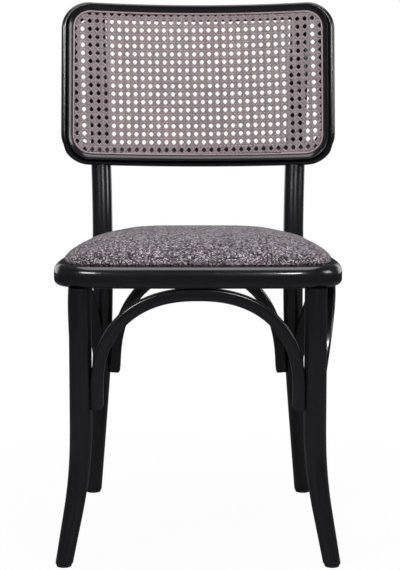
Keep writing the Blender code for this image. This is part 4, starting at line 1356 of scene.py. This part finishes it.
def screw_mesh(total, head):
    """Countersunk wood screw with a cross recess, ring threads and a point."""
    shank = head / 2
    outline = [(0, 0), (head * 0.93, 0), (head, 0.0003), (shank * 1.05, head * 0.75), (shank, 0.3 * total)]
    pitch, start, core = 0.0013, 0.36 * total, shank * 0.78
    for k in range(int((total * 0.86 - start) / pitch)):
        base = start + k * pitch
        outline += [(core, base), (shank, base + pitch * 0.5), (core, base + pitch * 0.9)]
    outline += [(shank * 0.7, total * 0.88), (0, total)]
    body = lathe(f"screw_{round(total * 1000)}", outline, 20)
    for bar in cross_recess(head * 0.62, head * 0.5):
        body = cut_recess(body, bar)
    return body


def quarter(steps):
    """(sine, 1 - cosine) of a quarter turn's steps, for a rounding that starts level."""
    turns = [math.pi / 2 * k / steps for k in range(1, steps + 1)]
    return [(math.sin(turn), 1 - math.cos(turn)) for turn in turns]


def bolt_mesh(total, head):
    """Low-domed furniture bolt with a hexagon socket."""
    shank, rise, bevel, socket_radius = 0.003, 0.0033, 0.0006, 0.0023
    outline = [(0, 0), *[(head * a, rise * b) for a, b in quarter(8)]]
    outline += [(shank, rise), (shank, total - bevel), (shank - bevel, total), (0, total)]
    socket = [(0, -0.001), (socket_radius, -0.001), (socket_radius, 0.0022), (0, 0.0027)]
    return cut_recess(lathe("furniture_bolt", outline, 40), lathe("hexagon_socket", socket, 6))


class CHAIR_OT_fasteners(bpy.types.Operator):
    """Screws with cross recesses, post bolts, washers and nuts"""

    bl_idname = "chair.fasteners"
    bl_label = "Screws and bolts"

    def execute(self, context):
        made = {}
        for name in sorted(frame["nodes"]):
            family = name.rsplit("_", 1)[0]
            if family.endswith("screw") or family == "post_bolt":
                head, line, total, radius = axis_of(name)
                if family not in made:
                    maker = bolt_mesh if family == "post_bolt" else screw_mesh
                    made[family] = facing_out(maker(total, radius), 30)
                place = Matrix.Translation(head) @ line.to_track_quat("Z", "Y").to_matrix().to_4x4()
                piece(name + "_made", made[family], shared(zinc_finish), [name], place)
            elif family in ("post_washer", "post_nut"):
                frame["nodes"][name].material_slots[0].material = shared(zinc_finish)
        return {"FINISHED"}


class CHAIR_OT_glides(bpy.types.Operator):
    """Moulded glides nailed under the four feet"""

    bl_idname = "chair.glides"
    bl_label = "Glides"

    thickness, edge_round, bevel, nail_radius = 0.004, 0.0022, 0.0003, 0.0013

    def execute(self, context):
        for name in sorted(n for n in frame["nodes"] if n.startswith("glide_")):
            low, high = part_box(name)
            radius = (high.x - low.x) / 2
            flat, top, edge = radius - self.edge_round, self.thickness, self.edge_round
            outline = [(0, 0.0003), (radius * 0.5, 0.0001), (flat, 0.0)]
            outline += [(flat + edge * a, edge * b) for a, b in quarter(5)]
            outline += [(radius, top - self.bevel), (radius - self.bevel, top)]
            outline += [(self.nail_radius, top), (self.nail_radius, high.z - 0.002), (0, high.z)]
            place = Matrix.Translation(((low.x + high.x) / 2, (low.y + high.y) / 2, 0))
            mesh = lathe(name + "_moulded", outline, 44)
            piece(name + "_moulded", mesh, shared(glide_finish), [name], place)
        return {"FINISHED"}


# Stage


def cleared(owner):
    """Empty node tree of a material or a world."""
    owner.use_nodes = True
    owner.node_tree.nodes.clear()
    return owner.node_tree


def stage_finish(name, shade):
    """Stage material: shade gives its matt colour, and the share that is bare white, from three wires."""
    material = bpy.data.materials.new(name)
    tree = cleared(material)
    place = node(tree, "NewGeometry", output="Position")
    seen, glossy = [node(tree, "LightPath", output=f"Is {ray} Ray") for ray in ("Camera", "Glossy")]
    colour_wire, bare = shade(place, seen, glossy)
    matt = node(tree, "BsdfDiffuse", {"Color": colour_wire})
    white = node(tree, "Emission", {"Color": (1, 1, 1), "Strength": 1.0})
    node(tree, "OutputMaterial", {"Surface": node(tree, "MixShader", {0: bare, 1: matt, 2: white})})
    return material


def floor_shade(place, seen, glossy):
    """White to the camera, with a little shadow near the chair, and darker to the lacquer's reflections."""
    away = node(place.tree, "VectorMath", {0: place}, "Value", operation="LENGTH")
    return glossy * -0.55 + 0.70, seen * (away.ramp(0.35, 0.9) * 0.03 + 0.97)


def wall_shade(place, seen, glossy):
    """White to the camera. Reflections find it dark in the middle and white towards both sides."""
    aside = place.parts()[0].math("ABSOLUTE").ramp(1.2, 2.2)
    return (0.20, 0.20, 0.20), seen.math("MAXIMUM", glossy * aside)


def stage_plane(name, wide, tall, matrix, material):
    a, b = wide / 2, tall / 2
    mesh = meshed(name, [(-a, -b, 0), (a, -b, 0), (a, b, 0), (-a, b, 0)], [(0, 1, 2, 3)])
    mesh.materials.append(material)
    obj = added(name, mesh)
    obj.matrix_world = matrix


def softbox(name, place, aim, width, tall, power):
    light = bpy.data.lights.new(name, "AREA")
    light.shape = "RECTANGLE"
    light.size, light.size_y, light.energy = width, tall, power
    obj = added(name, light)
    obj.location = place
    obj.rotation_euler = (Vector(aim) - Vector(place)).to_track_quat("-Z", "Y").to_euler()


class CHAIR_OT_stage(bpy.types.Operator):
    """Pale floor and backdrop, soft studio lights and the camera"""

    bl_idname = "chair.stage"
    bl_label = "Stage"

    # Name, place, aim, width, height and watts of each light
    lights = (
        ("left_softbox", (-1.45, -1.95, 1.95), (0, 0, 0.45), 0.90, 0.45, 30),
        ("right_softbox", (0.80, -2.40, 1.95), (0, 0, 0.45), 0.66, 0.42, 27),
        ("right_panel", (2.60, -0.35, 1.60), (0, 0, 0.55), 1.10, 1.00, 18),
        ("overhead_softbox", (0.0, 0.2, 2.5), (0, 0, 0.4), 2.0, 1.6, 28),
    )
    room_colour = (0.88, 0.91, 1.0)

    def execute(self, context):
        scene, stage = context.scene, context.scene.chair_stage
        floor, wall = stage_finish("pale_floor", floor_shade), stage_finish("pale_wall", wall_shade)
        stage_plane("floor", stage.floor_size, stage.floor_size, Matrix.Identity(4), floor)
        middle = (0, stage.backdrop_depth, stage.backdrop_height / 2)
        upright = Matrix.Translation(middle) @ Matrix.Rotation(math.pi / 2, 4, "X")
        stage_plane("backdrop", stage.floor_size, stage.backdrop_height, upright, wall)
        for light in self.lights:
            softbox(*light)
        self.room(scene, stage.room_light)
        self.camera(scene, stage)
        scene.view_settings.view_transform = "Standard"
        return {"FINISHED"}

    def room(self, scene, strength):
        """Even pale room, white where the camera sees it."""
        scene.world = bpy.data.worlds.new("room")
        tree = cleared(scene.world)
        seen = node(tree, "LightPath", output="Is Camera Ray")
        room = node(tree, "Background", {"Color": self.room_colour, "Strength": strength})
        white = node(tree, "Background", {"Color": (1, 1, 1), "Strength": 1.0})
        node(tree, "OutputWorld", {"Surface": node(tree, "MixShader", {0: seen, 1: room, 2: white})})

    def camera(self, scene, stage):
        data = bpy.data.cameras.new("camera")
        data.sensor_fit = "VERTICAL"
        data.sensor_height = 36.0
        data.lens = stage.lens * 1000
        data.shift_x = stage.shift
        scene.camera = obj = added("camera", data)
        obj.location = Vector((0, stage.camera_depth, stage.camera_height)) + placed()
        obj.rotation_euler = (math.pi / 2 - stage.camera_dip, 0, 0)


# Panel and registration


OPERATORS = (
    CHAIR_OT_seat_ring,
    CHAIR_OT_front_legs,
    CHAIR_OT_back_legs,
    CHAIR_OT_hoops,
    CHAIR_OT_back_frame,
    CHAIR_OT_cane_spline,
    CHAIR_OT_cane_webbing,
    CHAIR_OT_cushion,
    CHAIR_OT_seat_board,
    CHAIR_OT_fasteners,
    CHAIR_OT_glides,
    CHAIR_OT_stage,
)


class CHAIR_PT_pieces(bpy.types.Panel):
    """Buttons for every piece of the chair and for its settings"""

    bl_idname = "CHAIR_PT_pieces"
    bl_label = "Cane chair"
    bl_space_type = "VIEW_3D"
    bl_region_type = "UI"
    bl_category = "Cane chair"

    def draw(self, context):
        column = self.layout.column()
        for operator in OPERATORS:
            column.operator(operator.bl_idname)
        for group_name, group in GROUPS.items():
            box = self.layout.box()
            for setting in group.__annotations__:
                box.prop(getattr(context.scene, group_name), setting)


def register():
    for group_name, group in GROUPS.items():
        bpy.utils.register_class(group)
        setattr(bpy.types.Scene, group_name, PointerProperty(type=group))
    for operator in OPERATORS:
        bpy.utils.register_class(operator)
    bpy.utils.register_class(CHAIR_PT_pieces)


def unregister():
    bpy.utils.unregister_class(CHAIR_PT_pieces)
    for operator in reversed(OPERATORS):
        bpy.utils.unregister_class(operator)
    for group_name, group in reversed(GROUPS.items()):
        delattr(bpy.types.Scene, group_name)
        bpy.utils.unregister_class(group)


def main():
    register()
    for operator in OPERATORS:
        family, name = operator.bl_idname.split(".")
        getattr(getattr(bpy.ops, family), name)()


if __name__ == "__main__":
    main()
